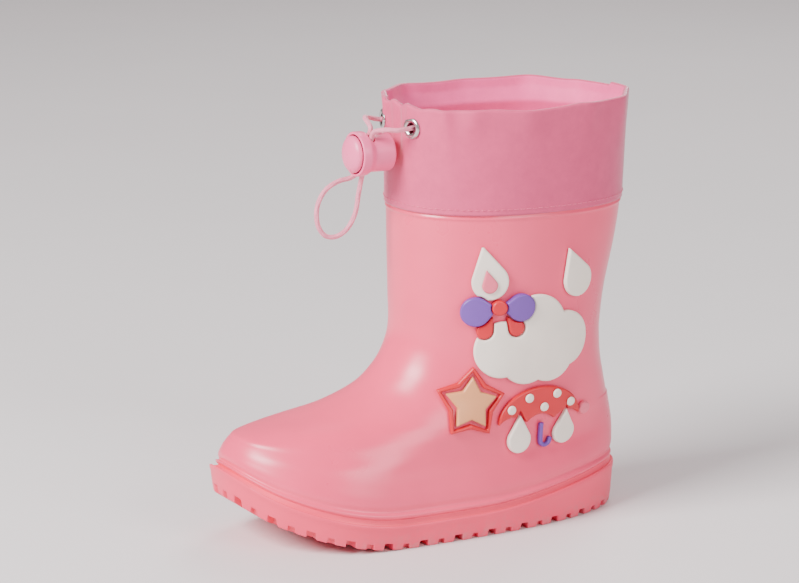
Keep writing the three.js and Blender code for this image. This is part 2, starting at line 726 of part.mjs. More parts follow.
function star(x, y, radius, grow = 0) {
  const points = Array.from({ length: 10 }, (_, i) => {
    const r = (i % 2 ? radius * 0.56 : radius) + grow;
    const a = Math.PI / 2 + (i * Math.PI) / 5 - 0.1;
    return new THREE.Vector2(x + r * Math.cos(a), y + r * Math.sin(a));
  });
  return new THREE.Shape(points);
}

function canopy(x, y, half, height) {
  const shape = new THREE.Shape();
  shape.absellipse(x, y, half, height, 0, Math.PI);
  for (let i = 0; i < 3; i += 1) {
    const middle = x - half + ((2 * i + 1) * half) / 3;
    shape.quadraticCurveTo(middle, y + height * 0.4, middle + half / 3, y);
  }
  return shape;
}

const hook = new THREE.Shape()
  .moveTo(10.4, 47.5)
  .lineTo(10.4, 38.5)
  .absarc(14, 38.5, 3.6, Math.PI, 2 * Math.PI)
  .absarc(16.6, 38.5, 1, 0, Math.PI)
  .absarc(14, 38.5, 1.6, 0, Math.PI, true)
  .lineTo(12.4, 47.5);

const starSpot = [-24.5, 60.5];
const bowSpot = [-12.5, 103.5];
const bowLoops = [['left', 3.3, 7.6], ['right', -0.05, 7.2]].map(([name, direction, radius]) => {
  const [x, y] = [bowSpot[0] + 10.3 * Math.cos(direction), bowSpot[1] + 10.3 * Math.sin(direction)];
  return { name, shape: (grow) => drop(x, y, radius * 0.86, 9.6, direction + Math.PI, grow) };
});
const bowTails = [['left', -18.5, 93], ['right', -4, 93.6]].map(([name, x, y]) => {
  const direction = Math.atan2(bowSpot[1] - y, bowSpot[0] - x);
  return { name, shape: (grow) => drop(x, y, 3.6, 7.4, direction, grow) };
});
const feet = [['front', -0.5, 41], ['rear', 24.5, 40.5]].map(([name, x, y]) => (
  { name, shape: (grow) => drop(x, y, 6, 12, Math.PI / 2, grow) }
));
const drops = [['front', -16.5, 115, 8.2, 1.8], ['rear', 27.5, 112.5, 7.8, 1.95]];
const dots = [[-5.5, 56], [3.5, 60.5], [11.5, 55.5], [18, 61], [26, 56]];

function patchPieces() {
  const footprint = (shape) => extrude(shape, -1, 8);
  const bowTools = [...bowLoops, ...bowTails].map((piece) => footprint(piece.shape(patchParting)));
  bowTools.push(footprint(disc(...bowSpot, 3.4 + gap)));
  const knot = footprint(disc(...bowSpot, 3.4 + gap));
  const footTools = feet.map((piece) => footprint(piece.shape(patchParting + 0.5)));
  const cream = '#f3e7dc';
  const puffs = [[-10, 84, 13], [6, 93, 15], [21, 86, 13], [2, 80.5, 13.4], [13.5, 80, 12.8]];
  const cloud = joinAll(puffs.map((puff) => extrude(disc(...puff), 0, patchBase)));
  const starHole = footprint(star(...starSpot, 12.2, 4 * patchParting));
  const starBorder = extrude(star(...starSpot, 12.2, 4.2), 0, patchBase).subtract(starHole);
  const pieces = [
    ['patch_cloud', cutAll(cloud, bowTools), cream],
    ['patch_bow_knot', extrude(disc(...bowSpot, 3.4), 0, patchRaised + 0.6), '#d8343c'],
    ['patch_canopy', cutAll(extrude(canopy(10.5, 49, 22, 16), 0, patchBase), footTools), '#e03a42'],
    ['patch_star_border', starBorder, '#c92f3a'],
    ['patch_star', extrude(star(...starSpot, 12.2), 0, patchBase + 0.4), '#e3ad83'],
  ];
  for (const [name, x, y, radius, direction] of drops) {
    const shape = drop(x, y, radius, radius * 2.05, direction);
    pieces.push([`patch_drop_${name}`, cutAll(extrude(shape, 0, patchBase), bowTools), cream]);
  }
  const glint = drop(-16.9, 113.6, 3.4, 7.4, 1.8);
  pieces.push(['patch_drop_glint', extrude(glint, patchBase + gap, patchBase + gap + patchDot), '#f2a9a6']);
  for (const { name, shape } of bowLoops) {
    pieces.push([`patch_bow_loop_${name}`, extrude(shape(0), 0, patchRaised).subtract(knot), '#8463b4']);
  }
  const loopTools = bowLoops.map((piece) => footprint(piece.shape(patchParting)));
  for (const { name, shape } of bowTails) {
    const tail = cutAll(extrude(shape(0), 0, patchBase), [...loopTools, knot]);
    pieces.push([`patch_bow_tail_${name}`, tail, '#dc3840']);
  }
  feet.forEach(({ name, shape }) => {
    pieces.push([`patch_small_drop_${name}`, extrude(shape(0), 0, patchBase + 0.3), cream]);
  });
  return pieces;
}

for (const [name, flat, color] of patchPieces()) {
  add(name, bend(splitEdges(geometryOf(flat), 7), ontoShell), color, 0.45);
}
add('patch_hook', geometryOf(flatPiece(hook, 13, 42, 0, patchBase)), '#7f5fae', 0.45);
add('patch_ball', geometryOf(flatPiece(disc(36, 50.5, 3.3), 36, 50.5, 0, patchBase)), '#e8607c', 0.45);
dots.forEach(([x, y], i) => {
  const dot = flatPiece(disc(x, y, 2.1), x, y, patchBase + gap, patchBase + gap + patchDot);
  add(`patch_dot_${i + 1}`, geometryOf(dot), '#f3e7dc', 0.45);
});

export default boot;
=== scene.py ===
"""A child's waterproof boot: its skin, cloth, cord and finishes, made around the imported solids."""
import math

import bmesh
import bpy
import numpy as np
from bpy.props import FloatProperty, FloatVectorProperty, IntProperty, PointerProperty
from bpy.types import Operator, Panel, PropertyGroup
from mathutils import Matrix, Vector, noise


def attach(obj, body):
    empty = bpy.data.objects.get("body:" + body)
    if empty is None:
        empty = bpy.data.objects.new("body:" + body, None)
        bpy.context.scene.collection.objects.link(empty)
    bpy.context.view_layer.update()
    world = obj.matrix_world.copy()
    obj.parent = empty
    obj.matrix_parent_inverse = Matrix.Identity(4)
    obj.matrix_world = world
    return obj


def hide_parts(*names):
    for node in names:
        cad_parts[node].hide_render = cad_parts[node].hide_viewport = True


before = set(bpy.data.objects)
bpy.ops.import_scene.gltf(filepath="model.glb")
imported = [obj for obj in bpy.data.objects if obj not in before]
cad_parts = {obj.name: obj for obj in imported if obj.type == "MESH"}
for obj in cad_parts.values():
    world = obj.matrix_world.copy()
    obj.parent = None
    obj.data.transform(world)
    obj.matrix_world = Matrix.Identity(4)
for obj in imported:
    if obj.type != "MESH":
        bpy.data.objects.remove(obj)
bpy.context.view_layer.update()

bl_info = {
    "name": "Rain boot",
    "version": (1, 0, 0),
    "blender": (4, 5, 0),
    "location": "View3D > Sidebar > Rain boot",
    "description": "Builds a child's rain boot with a cloth collar, a drawcord, a cord lock and a patch",
    "category": "Add Mesh",
}

MM = 0.001

# ---------------------------------------------------------------- sizes in millimetres, as in the solids

SOLE_LENGTH, BALL_WIDTH, RIM_HEIGHT = 196, 78.6, 11.3
TOE_SPRING, SPRING_START, HEEL_RISE, HEEL_RISE_LENGTH = 20.4, 74.5, 8.2, 88
TIP_LIFT, TIP_LENGTH, RIM_FILLET = 3, 18, 2.4
SWEEP, WAIST, WAIST_INSET, WAIST_LENGTH = 8.8, 4, 68, 30
LIFT_FADE_START, LIFT_FADE_LENGTH = 10, 48
LUG_HEIGHT, LUG_PITCH, NOTCH_WIDTH, NOTCH_REACH = 3.2, 9, 4.4, 8
GROOVE_WIDTH, GROOVE_PITCH, TREAD_MARGIN = 3.6, 16, 7
SHELL_WALL, SHELL_FLOOR, FLOOR_WALL = 2.2, 7, 2.5
ANKLE_HEIGHT, ANKLE_LENGTH, ANKLE_WIDTH, ANKLE_INSET = 88, 99.2, 72.8, 12
SHAFT_HEIGHT, SHAFT_LENGTH, SHAFT_WIDTH, SHAFT_INSET = 152, 109.8, 78.2, 3
WELT_HEIGHT, WELT_BULGE, BEAD_DROP, BEAD_BULGE = 15.2, 1.2, 1.6, 0.5
LINING_GAP, LINING_WALL, LINING_TOP = 0.7, 1.0, 131
INSOLE_CLEARANCE, FOAM_THICKNESS, COVER_THICKNESS = 0.6, 3.2, 0.8
CLOTH, HEM_HEIGHT, INNER_HEM_HEIGHT = 0.7, 144.5, 133
COLLAR_HEIGHT, COLLAR_LENGTH, COLLAR_WIDTH, COLLAR_INSET, CHANNEL = 193, 113.4, 87.4, 1.6, 3.6
EYELET_DROP, EYELET_BORE, EYELET_BARREL, EYELET_FLANGE, EYELET_THICKNESS = 11.5, 5, 5.8, 9.4, 0.9
CORD_DIAMETER, CORD_GAP = 2.2, 1.5
LOCK_RADIUS, LOCK_BARREL_RADIUS, LOCK_WALL, LOCK_RIM, LOCK_BACK = 9.8, 8.4, 1.5, 5, 11.7
LOCK_DROP, LOCK_STANDOFF, LOCK_ROLL, BUTTON_TRAVEL = 11.9, 3.3, -0.44, 3.5
BUTTON_RADIUS, BUTTON_DOME, STEM_RADIUS = 8.1, 3.1, 5.7
SPRING_WIRE, SPRING_TURNS = 0.7, 3
PATCH_INSET, PATCH_TURN, PATCH_CLEARANCE, PATCH_PARTING = 60, 77, 0.6, 0.5
PATCH_BASE, PATCH_RAISED, PATCH_DOT = 1.7, 2.9, 0.8
GAP = 0.3
WIDEST_INSET = 64.4            # the ball's widest place, behind the toe tip
HOLE_MIDDLE = -0.9             # the middle of the lock's cord hole, along the lock from LOCK_SPOT
TOE_POWER, FOOT_BACK_POWER, SHAFT_BACK_POWER, SIDE_POWER = 2.2, 3.1, 2.3, 2.25

HEEL, TOE = -SOLE_LENGTH / 2, SOLE_LENGTH / 2
ANKLE_FRONT = HEEL + ANKLE_INSET + ANKLE_LENGTH

# ---------------------------------------------------------------- the boot's form


def mix(a, b, t):
    return a + (b - a) * t


def smooth(v):
    v = np.clip(v, 0, 1)
    return v * v * (3 - 2 * v)


def hump(v, width):
    return np.exp(-((v / width) ** 2))


def foot_section(height, reach, inset, width, nose, footness):
    front = mix(ANKLE_FRONT, TOE, reach)
    return [height, front, HEEL + inset, width * BALL_WIDTH / 2, nose, footness]


def shaft_section(up, towards_top):
    length = mix(ANKLE_LENGTH, SHAFT_LENGTH, towards_top)
    back = HEEL + mix(ANKLE_INSET, SHAFT_INSET, towards_top)
    half = mix(ANKLE_WIDTH, SHAFT_WIDTH, up) / 2
    return [mix(ANKLE_HEIGHT, SHAFT_HEIGHT, up), back + length, back, half, length / 2, 0]


# height, reach from the ankle to the toe, inset from the heel, share of the ball's width, nose, footness
FOOT_ROWS = [
    (SHELL_FLOOR, 0.882, 7.0, 0.865, 57, 1),
    (12, 0.945, 3.5, 0.94, 60, 1),
    (20, 0.957, 1.8, 0.957, 60, 1),
    (28, 0.945, 1.4, 0.921, 60, 1),
    (35, 0.93, 1.6, 0.88, 62, 1),
    (41, 0.91, 2.6, 0.855, 74, 1),
    (45.5, 0.875, 3.7, 0.848, 84, 0.98),
    (50, 0.74, 5.0, 0.849, 88, 0.93),
    (55, 0.46, 6.4, 0.85, 74, 0.8),
    (62, 0.236, 8.4, 0.86, 64, 0.53),
    (70, 0.114, 10.3, 0.875, 58, 0.2),
    (78, 0.043, 11.5, 0.898, 54, 0.03),
]
SHAFT_ROWS = [(0, 0), (0.26, 0.2), (0.57, 0.68), (0.82, 0.95), (1, 1)]
SECTIONS = [foot_section(*row) for row in FOOT_ROWS]
SECTIONS = np.array(SECTIONS + [shaft_section(*row) for row in SHAFT_ROWS])
TOP_LEVEL = len(SECTIONS) - 1


def section_at(t):
    """A section between the listed ones, on Catmull-Rom curves through them."""
    i = min(int(t), TOP_LEVEL - 1)
    f = t - i
    a, b, c, d = (SECTIONS[min(max(k, 0), TOP_LEVEL)] for k in (i - 1, i, i + 1, i + 2))
    return b + 0.5 * f * (c - a + f * (2 * a - 5 * b + 4 * c - d + f * (3 * (b - c) + d - a)))


def level_of(height):
    low, high = 0.0, float(TOP_LEVEL)
    for _ in range(40):
        middle = (low + high) / 2
        if section_at(middle)[0] < height:
            low = middle
        else:
            high = middle
    return (low + high) / 2


def outline(section, angle, grow=0.0):
    """The egg-shaped plan outline of a section at some angles, grown outward."""
    _, front, back, half, nose, footness = section
    widest = front - nose
    c, s = np.cos(angle), np.sin(angle)
    power = np.where(c > 0, TOE_POWER, mix(SHAFT_BACK_POWER, FOOT_BACK_POWER, footness))
    reach = np.where(c > 0, front - widest, widest - back) + grow
    x = widest + np.sign(c) * reach * np.abs(c) ** (2 / power)
    arch = np.where(s < 0, WAIST * footness * hump(x - HEEL - WAIST_INSET, WAIST_LENGTH), 0)
    inward = SWEEP * footness * np.clip((x - widest) / (TOE - widest), 0, 2) ** 2
    return x, np.sign(s) * (half + grow) * np.abs(s) ** (2 / SIDE_POWER) + arch - inward


def rise(x, height, length):
    return height * np.clip((x - (TOE - length)) / length, 0, 1) ** 2


def toe_lift(x):
    return rise(x, TOE_SPRING, SPRING_START) + rise(x, TIP_LIFT, TIP_LENGTH)


def heel_lift(x):
    return HEEL_RISE * smooth((HEEL + HEEL_RISE_LENGTH - x) / HEEL_RISE_LENGTH)


def fade(z):
    return 1 - smooth((z - LIFT_FADE_START) / LIFT_FADE_LENGTH)


def lifted(x, y, z):
    return np.stack([x, y, z + (toe_lift(x) + heel_lift(x)) * fade(z)], axis=-1)


def turn_angles(count):
    return np.arange(count) * 2 * math.pi / count


def ring(section, angle, grow=0.0, height=None):
    x, y = outline(section, angle, grow)
    return lifted(x, y, np.full_like(x, section[0] if height is None else height))


def inner_ring(t, angle, depth, lowest):
    """The ring of a wall's inner face, moved in square to the front profile."""
    section = section_at(t)
    below, above = section_at(max(t - 0.05, 0)), section_at(min(t + 0.05, TOP_LEVEL))
    lean = min(max(math.atan2(below[1] - above[1], above[0] - below[0]), 0), math.pi / 2)
    moved = section.copy()
    moved[1] -= depth * math.cos(lean) - depth
    return ring(moved, angle, -depth, max(section[0] - depth * math.sin(lean), lowest))


def collar_section(z):
    """The collar's outer face: it follows the shaft over the hem, then widens to its top."""
    _, front, back, half, _, _ = section_at(level_of(min(z, SHAFT_HEIGHT)))
    over = GAP + CLOTH
    k = min(max((z - SHAFT_HEIGHT) / (COLLAR_HEIGHT - SHAFT_HEIGHT), 0), 1)
    top_back = HEEL + COLLAR_INSET
    ahead, behind = mix(front + over, top_back + COLLAR_LENGTH, k), mix(back - over, top_back, k)
    return [z, ahead, behind, mix(half + over, COLLAR_WIDTH / 2, k), (ahead - behind) / 2, 0]


EYELET_Z = COLLAR_HEIGHT - EYELET_DROP
FACET = [np.array(outline(collar_section(EYELET_Z), np.array(math.radians(a)))) for a in (10, 20)]
EYELET_SPOT = (FACET[0] + FACET[1]) / 2
EYELET_TURN = math.atan2(*(FACET[1] - FACET[0])[::-1]) - math.pi / 2
LOCK_Z = EYELET_Z - LOCK_DROP
LOCK_SPOT = np.array([collar_section(LOCK_Z)[1] + LOCK_STANDOFF + LOCK_BACK, 0, LOCK_Z])


def eyelet_matrix(side):
    """A frame at one eyelet whose +Z points out of the collar, in millimetres."""
    spot = Matrix.Translation((EYELET_SPOT[0], side * EYELET_SPOT[1], EYELET_Z))
    return spot @ Matrix.Rotation(side * EYELET_TURN, 4, "Z") @ Matrix.Rotation(math.pi / 2, 4, "Y")


def lock_matrix():
    """The cord lock's own frame: +Z out of the button, the cord hole along X."""
    turned_up = Matrix.Rotation(math.pi / 2, 4, "Y") @ Matrix.Rotation(LOCK_ROLL, 4, "Z")
    return Matrix.Translation(LOCK_SPOT) @ turned_up


# ---------------------------------------------------------------- making meshes


def new_piece(name, points, faces, sharp=None, outward=True):
    """A smooth-shaded object from points in millimetres."""
    mesh = bpy.data.meshes.new(name)
    mesh.from_pydata((np.asarray(points) * MM).tolist(), [], faces)
    if outward:
        work = bmesh.new()
        work.from_mesh(mesh)
        bmesh.ops.recalc_face_normals(work, faces=work.faces)
        work.to_mesh(mesh)
        work.free()
    mesh.shade_smooth()
    if sharp is not None:
        mesh.set_sharp_from_angle(angle=math.radians(sharp))
    piece = bpy.data.objects.new(name, mesh)
    bpy.context.scene.collection.objects.link(piece)
    return piece


def loft(rings, closed=False, caps=True):
    """Points and faces of a skin over rings with the same number of points."""
    rows, n = len(rings), len(rings[0])
    around = np.arange(n)
    following = (around + 1) % n
    faces = []
    for r in range(rows if closed else rows - 1):
        low, high = r * n, ((r + 1) % rows) * n
        faces += np.stack([low + around, low + following, high + following, high + around], 1).tolist()
    if caps and not closed:
        faces.append(around[::-1].tolist())
        faces.append((around + (rows - 1) * n).tolist())
    return np.concatenate(rings), faces


def turned(profile, steps=64):
    """A closed profile of radius and height pairs, turned about Z; a point on the axis is shared."""
    angle = turn_angles(steps)
    rings = [np.stack([r * np.cos(angle), r * np.sin(angle), np.full(steps, z)], 1) for r, z in profile]
    return loft(rings, closed=True)


def rounded(corners, radius, steps=4):
    """A closed profile with its corners rounded off."""
    points = []
    count = len(corners)
    for i in range(count):
        here, before, after = (Vector(corners[k % count]) for k in (i, i - 1, i + 1))
        r = min(radius, (before - here).length / 2.2, (after - here).length / 2.2)
        start, end = here + (before - here).normalized() * r, here + (after - here).normalized() * r
        if here[0] < 1e-6:
            points.append(tuple(here))
            continue
        for k in range(steps + 1):
            t = k / steps
            points.append(tuple(start * (1 - t) ** 2 + here * 2 * t * (1 - t) + end * t * t))
    return points


def place(piece, matrix):
    """Moves a piece's points, so that its own origin stays at the frame's origin."""
    scaled = matrix.copy()
    scaled.translation = matrix.translation * MM
    piece.data.transform(scaled)
    return piece


def cut(piece, tool):
    """Cuts a tool out of a piece and deletes the tool."""
    modifier = piece.modifiers.new("cut", "BOOLEAN")
    modifier.operation, modifier.object, modifier.solver = "DIFFERENCE", tool, "EXACT"
    bake_modifiers(piece)
    bpy.data.objects.remove(tool)
    piece.data.shade_smooth()
    piece.data.set_sharp_from_angle(angle=math.radians(35))
    return piece


def bake_modifiers(piece):
    graph = bpy.context.evaluated_depsgraph_get()
    mesh = bpy.data.meshes.new_from_object(piece.evaluated_get(graph))
    piece.modifiers.clear()
    piece.data = mesh


def settle(piece, body, slot, material, *nodes):
    """Gives a piece its finish, its body and the solids that it stands for."""
    piece.data.materials.clear()
    piece.data.materials.append(material)
    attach(piece, body)
    if nodes:
        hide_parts(*nodes)
    return piece


def catmull_rom(points, fineness):
    """A centripetal Catmull-Rom curve through points."""
    points = np.asarray(points, float)
    ends = np.concatenate([[2 * points[0] - points[1]], points, [2 * points[-1] - points[-2]]])
    out = []
    for a, b, c, d in zip(ends, ends[1:], ends[2:], ends[3:]):
        steps = [max(np.linalg.norm(q - p), 1e-6) ** 0.5 for p, q in ((a, b), (b, c), (c, d))]
        t0, t1 = 0, steps[0]
        t2, t3 = t1 + steps[1], t1 + steps[1] + steps[2]
        for t in np.linspace(t1, t2, fineness, endpoint=False):
            a1 = (t1 - t) / (t1 - t0) * a + (t - t0) / (t1 - t0) * b
            a2 = (t2 - t) / (t2 - t1) * b + (t - t1) / (t2 - t1) * c
            a3 = (t3 - t) / (t3 - t2) * c + (t - t2) / (t3 - t2) * d
            b1 = (t2 - t) / (t2 - t0) * a1 + (t - t0) / (t2 - t0) * a2
            b2 = (t3 - t) / (t3 - t1) * a2 + (t - t1) / (t3 - t1) * a3
            out.append((t2 - t) / (t2 - t1) * b1 + (t - t1) / (t2 - t1) * b2)
    out.append(points[-1])
    return np.array(out)


def walked(points):
    """How far along a line each of its points lies."""
    return np.concatenate([[0], np.cumsum(np.linalg.norm(np.diff(points, axis=0), axis=1))])


def evenly(points, step):
    along = walked(points)
    stops = np.linspace(0, along[-1], max(int(round(along[-1] / step)), 2) + 1)
    return np.stack([np.interp(stops, along, points[:, k]) for k in range(3)], 1), stops


def braided_tube(path, diameter, pitch, strands, relief, sides=28, step=0.22):
    """A cord along a path, with the crossing strands of its braid raised on its surface."""
    line, along = evenly(path, step)
    tangent = np.gradient(line, axis=0)
    tangent /= np.linalg.norm(tangent, axis=1)[:, None]
    normal = np.zeros_like(tangent)
    start = np.cross(tangent[0], [0, 0, 1])
    normal[0] = start / np.linalg.norm(start)
    for i in range(1, len(line)):
        n = normal[i - 1] - tangent[i] * normal[i - 1].dot(tangent[i])
        normal[i] = n / np.linalg.norm(n)
    binormal = np.cross(tangent, normal)
    angle = turn_angles(sides)
    wind = 2 * math.pi * along[:, None] / pitch
    one, other = np.cos(strands * angle + wind), np.cos(strands * angle - wind)
    height = np.maximum(one, other)
    radius = diameter / 2 - relief + relief * height
    c, s = np.cos(angle)[None, :, None], np.sin(angle)[None, :, None]
    offset = normal[:, None] * c + binormal[:, None] * s
    rings = line[:, None] + offset * radius[:, :, None]
    return (*loft(list(rings)), line)


# ---------------------------------------------------------------- finishes


class Nodes:
    """Adds nodes to a tree and links them."""

    def __init__(self, tree):
        self.tree = tree

    def add(self, kind, inputs=(), **settings):
        node = self.tree.nodes.new(kind)
        for name, value in settings.items():
            setattr(node, name, value)
        for key, value in dict(inputs).items():
            if hasattr(value, "links"):
                self.tree.links.new(value, node.inputs[key])
            else:
                node.inputs[key].default_value = value
        return node

    def math(self, operation, *values):
        return self.add("ShaderNodeMath", dict(enumerate(values)), operation=operation).outputs[0]

    def noise(self, where, scale, detail=3.0, roughness=0.55):
        sizes = {"Vector": where, "Scale": scale, "Detail": detail, "Roughness": roughness}
        return self.add("ShaderNodeTexNoise", sizes).outputs["Fac"]

    def span(self, value, low, high, to_low=0.0, to_high=1.0):
        sizes = {"Value": value, "From Min": low, "From Max": high, "To Min": to_low, "To Max": to_high}
        return self.add("ShaderNodeMapRange", sizes).outputs["Result"]

    def blend(self, share, first, second, mode="MIX"):
        node = self.add("ShaderNodeMix", data_type="RGBA", blend_type=mode)
        for socket, value in ((node.inputs[0], share), (node.inputs[6], first), (node.inputs[7], second)):
            if hasattr(value, "links"):
                self.tree.links.new(value, socket)
            else:
                socket.default_value = value
        return node.outputs[2]


def effect(name, inputs, outputs, build):
    """A shader node group with named inputs and outputs, made once."""
    group = bpy.data.node_groups.get(name)
    if group:
        return group
    group = bpy.data.node_groups.new(name, "ShaderNodeTree")
    for label, kind, default in inputs:
        socket = group.interface.new_socket(label, in_out="INPUT", socket_type=kind)
        if default is not None:
            socket.default_value = default
    for label, kind in outputs:
        group.interface.new_socket(label, in_out="OUTPUT", socket_type=kind)
    nodes = Nodes(group)
    source = group.nodes.new("NodeGroupInput")
    target = group.nodes.new("NodeGroupOutput")
    for label, value in build(nodes, source.outputs).items():
        group.links.new(value, target.inputs[label])
    return group


def moulded_grain():
    """Cast rubber: a fine orange-peel height, and slow changes of tone and gloss."""

    def build(n, given):
        where, scale = given["Vector"], given["Scale"]
        fine = n.noise(where, scale, 4.0, 0.6)
        slow = n.noise(where, n.math("MULTIPLY", scale, 0.035), 2.0)
        smudge = n.noise(where, n.math("MULTIPLY", scale, 0.012), 5.0, 0.65)
        height = n.math("ADD", n.math("MULTIPLY", fine, 0.35), n.math("MULTIPLY", slow, 1.0))
        tone = n.span(slow, 0.25, 0.75)
        gloss = n.span(smudge, 0.3, 0.7)
        return {"Height": height, "Tone": tone, "Smudge": gloss}

    floats = "NodeSocketFloat"
    given = [("Vector", "NodeSocketVector", None), ("Scale", floats, 900.0)]
    made = [(label, floats) for label in ("Height", "Tone", "Smudge")]
    return effect("moulded grain", given, made, build)


def darkening_near_ground():
    """Darker, browner blotches that grow towards the ground."""

    def build(n, given):
        height = n.add("ShaderNodeSeparateXYZ", {"Vector": given["Vector"]}).outputs["Z"]
        # darker towards the ground: strongest at the bottom, fading out by the reach height
        low = n.span(height, 0.0, given["Reach"], 1.0, 0.0)
        speckle = n.span(n.noise(given["Vector"], 260.0, 6.0, 0.7), 0.42, 0.72)
        return {"Mask": n.math("MULTIPLY", n.math("MULTIPLY", low, low), speckle)}

    floats = "NodeSocketFloat"
    given = [("Vector", "NodeSocketVector", None), ("Reach", floats, 0.03)]
    return effect("ground dust", given, [("Mask", floats)], build)


def plain_weave():
    """Crossing threads around an upright axis: their height, and a light and dark share, painted shade in
    the hollows between threads over random slub tone.
    """

    def build(n, given):
        split = n.add("ShaderNodeSeparateXYZ", {"Vector": given["Vector"]}).outputs
        ahead = n.math("SUBTRACT", split["X"], given["Axis X"])
        angle = n.math("ARCTAN2", split["Y"], ahead)
        across = n.math("MULTIPLY", angle, given["Radius"])
        turn = n.math("DIVIDE", 2 * math.pi, given["Thread"])
        warp = n.math("SINE", n.math("MULTIPLY", across, turn))
        weft = n.math("SINE", n.math("MULTIPLY", split["Z"], turn))
        height = n.math("MULTIPLY", warp, weft)
        slub = n.noise(given["Vector"], 140.0, 4.0, 0.7)
        # painted shade: crossings lighter and hollows between threads darker, added to random slub tone
        shade = n.math("ADD", n.math("MULTIPLY", height, 0.25), slub)
        return {"Height": height, "Shade": n.span(shade, 0.2, 0.8)}

    floats = "NodeSocketFloat"
    given = [
        ("Vector", "NodeSocketVector", None),
        ("Thread", floats, 0.0006),
        ("Radius", floats, 0.05),
        ("Axis X", floats, -0.04),
    ]
    return effect("plain weave", given, [("Height", floats), ("Shade", floats)], build)


def new_material(name, roughness, **constants):
    """A material with one Principled shader; constants are set on the shader's own sockets."""
    material = bpy.data.materials.new(name)
    material.use_nodes = True
    nodes = Nodes(material.node_tree)
    shader = material.node_tree.nodes["Principled BSDF"]
    shader.inputs["Roughness"].default_value = roughness
    for key, value in constants.items():
        shader.inputs[key.replace("_", " ")].default_value = value
    where = nodes.add("ShaderNodeTexCoord").outputs["Object"]
    return material, nodes, shader, where


def bumped(nodes, shader, height, depth):
    bump = nodes.add("ShaderNodeBump", {"Height": height, "Distance": depth, "Strength": 1.0})
    nodes.tree.links.new(bump.outputs["Normal"], shader.inputs["Normal"])


def shade_of(colour, factor):
    return [min(c * factor, 1) for c in colour[:3]] + [1]


def rubber(name, colour, roughness, grain=900.0, depth=0.00002, dust=0.0, ground_darkening_reach=0.03, coat=0.0):
    """Soft cast rubber or PVC with grain, slow tone changes, smudged gloss and a brownish darkening
    towards the ground.
    """
    material, nodes, shader, where = new_material(
        name, roughness, Coat_Roughness=0.35, Specular_IOR_Level=0.45, Subsurface_Weight=0.0
    )
    group = nodes.add("ShaderNodeGroup", node_tree=moulded_grain(), inputs=())
    nodes.tree.links.new(where, group.inputs["Vector"])
    group.inputs["Scale"].default_value = grain
    tone = nodes.blend(group.outputs["Tone"], shade_of(colour, 0.93), shade_of(colour, 1.05))
    # darker and browner towards the ground, mixed in by height and blotchy noise
    if dust:
        mask = nodes.add("ShaderNodeGroup", node_tree=darkening_near_ground())
        nodes.tree.links.new(where, mask.inputs["Vector"])
        mask.inputs["Reach"].default_value = ground_darkening_reach
        share = nodes.math("MULTIPLY", mask.outputs["Mask"], dust)
        tone = nodes.blend(share, tone, (0.42, 0.27, 0.26, 1))
    nodes.tree.links.new(tone, shader.inputs["Base Color"])
    low, high = roughness - 0.05, roughness + 0.08
    nodes.tree.links.new(nodes.span(group.outputs["Smudge"], 0, 1, low, high), shader.inputs["Roughness"])
    if coat:
        weight = nodes.span(group.outputs["Smudge"], 0, 1, coat, coat * 0.6)
        nodes.tree.links.new(weight, shader.inputs["Coat Weight"])
    bumped(nodes, shader, group.outputs["Height"], depth)
    return material


def cloth(name, colour, thread, depth, roughness=0.6, sheen=0.5, radius=0.05, axis=-0.04):
    """Woven cloth around the leg, with a soft sheen."""
    material, nodes, shader, where = new_material(
        name, roughness, Sheen_Weight=sheen, Sheen_Roughness=0.35, Specular_IOR_Level=0.4
    )
    group = nodes.add("ShaderNodeGroup", node_tree=plain_weave())
    nodes.tree.links.new(where, group.inputs["Vector"])
    for key, value in (("Thread", thread), ("Radius", radius), ("Axis X", axis)):
        group.inputs[key].default_value = value
    # colour from the weave: painted shade between the threads and random slub tone
    tone = nodes.blend(group.outputs["Shade"], shade_of(colour, 0.9), shade_of(colour, 1.07))
    nodes.tree.links.new(tone, shader.inputs["Base Color"])
    rough = nodes.span(group.outputs["Shade"], 0, 1, roughness + 0.06, roughness - 0.06)
    nodes.tree.links.new(rough, shader.inputs["Roughness"])
    bumped(nodes, shader, group.outputs["Height"], depth)
    return material


def metal(name, colour, roughness, wear=0.12):
    """Plated metal with fine scratches and a tarnish that dulls its gloss in places."""
    material, nodes, shader, where = new_material(name, roughness, Metallic=1.0)
    stretched = nodes.add("ShaderNodeMapping", {"Vector": where, "Scale": (1.0, 1.0, 9.0)}).outputs[0]
    scratch = nodes.noise(stretched, 2600.0, 3.0, 0.6)
    tarnish = nodes.span(nodes.noise(where, 420.0, 5.0, 0.7), 0.4, 0.7)
    tone = nodes.blend(tarnish, shade_of(colour, 1.0), shade_of(colour, 0.72))
    nodes.tree.links.new(tone, shader.inputs["Base Color"])
    rough = nodes.math("ADD", nodes.math("MULTIPLY", tarnish, wear), roughness)
    nodes.tree.links.new(rough, shader.inputs["Roughness"])
    bumped(nodes, shader, scratch, 0.000008)
    return material


def colours():
    return bpy.context.scene.rain_boot_colours


def sizes():
    return bpy.context.scene.rain_boot_sizes


def finish(key, make):
    """A material made once and shared by the pieces of one finish."""
    return bpy.data.materials.get(key) or make(key)


def plastic(key):
    return rubber(key, colours().lock, 0.33, grain=1400.0, depth=0.000012, coat=0.25)


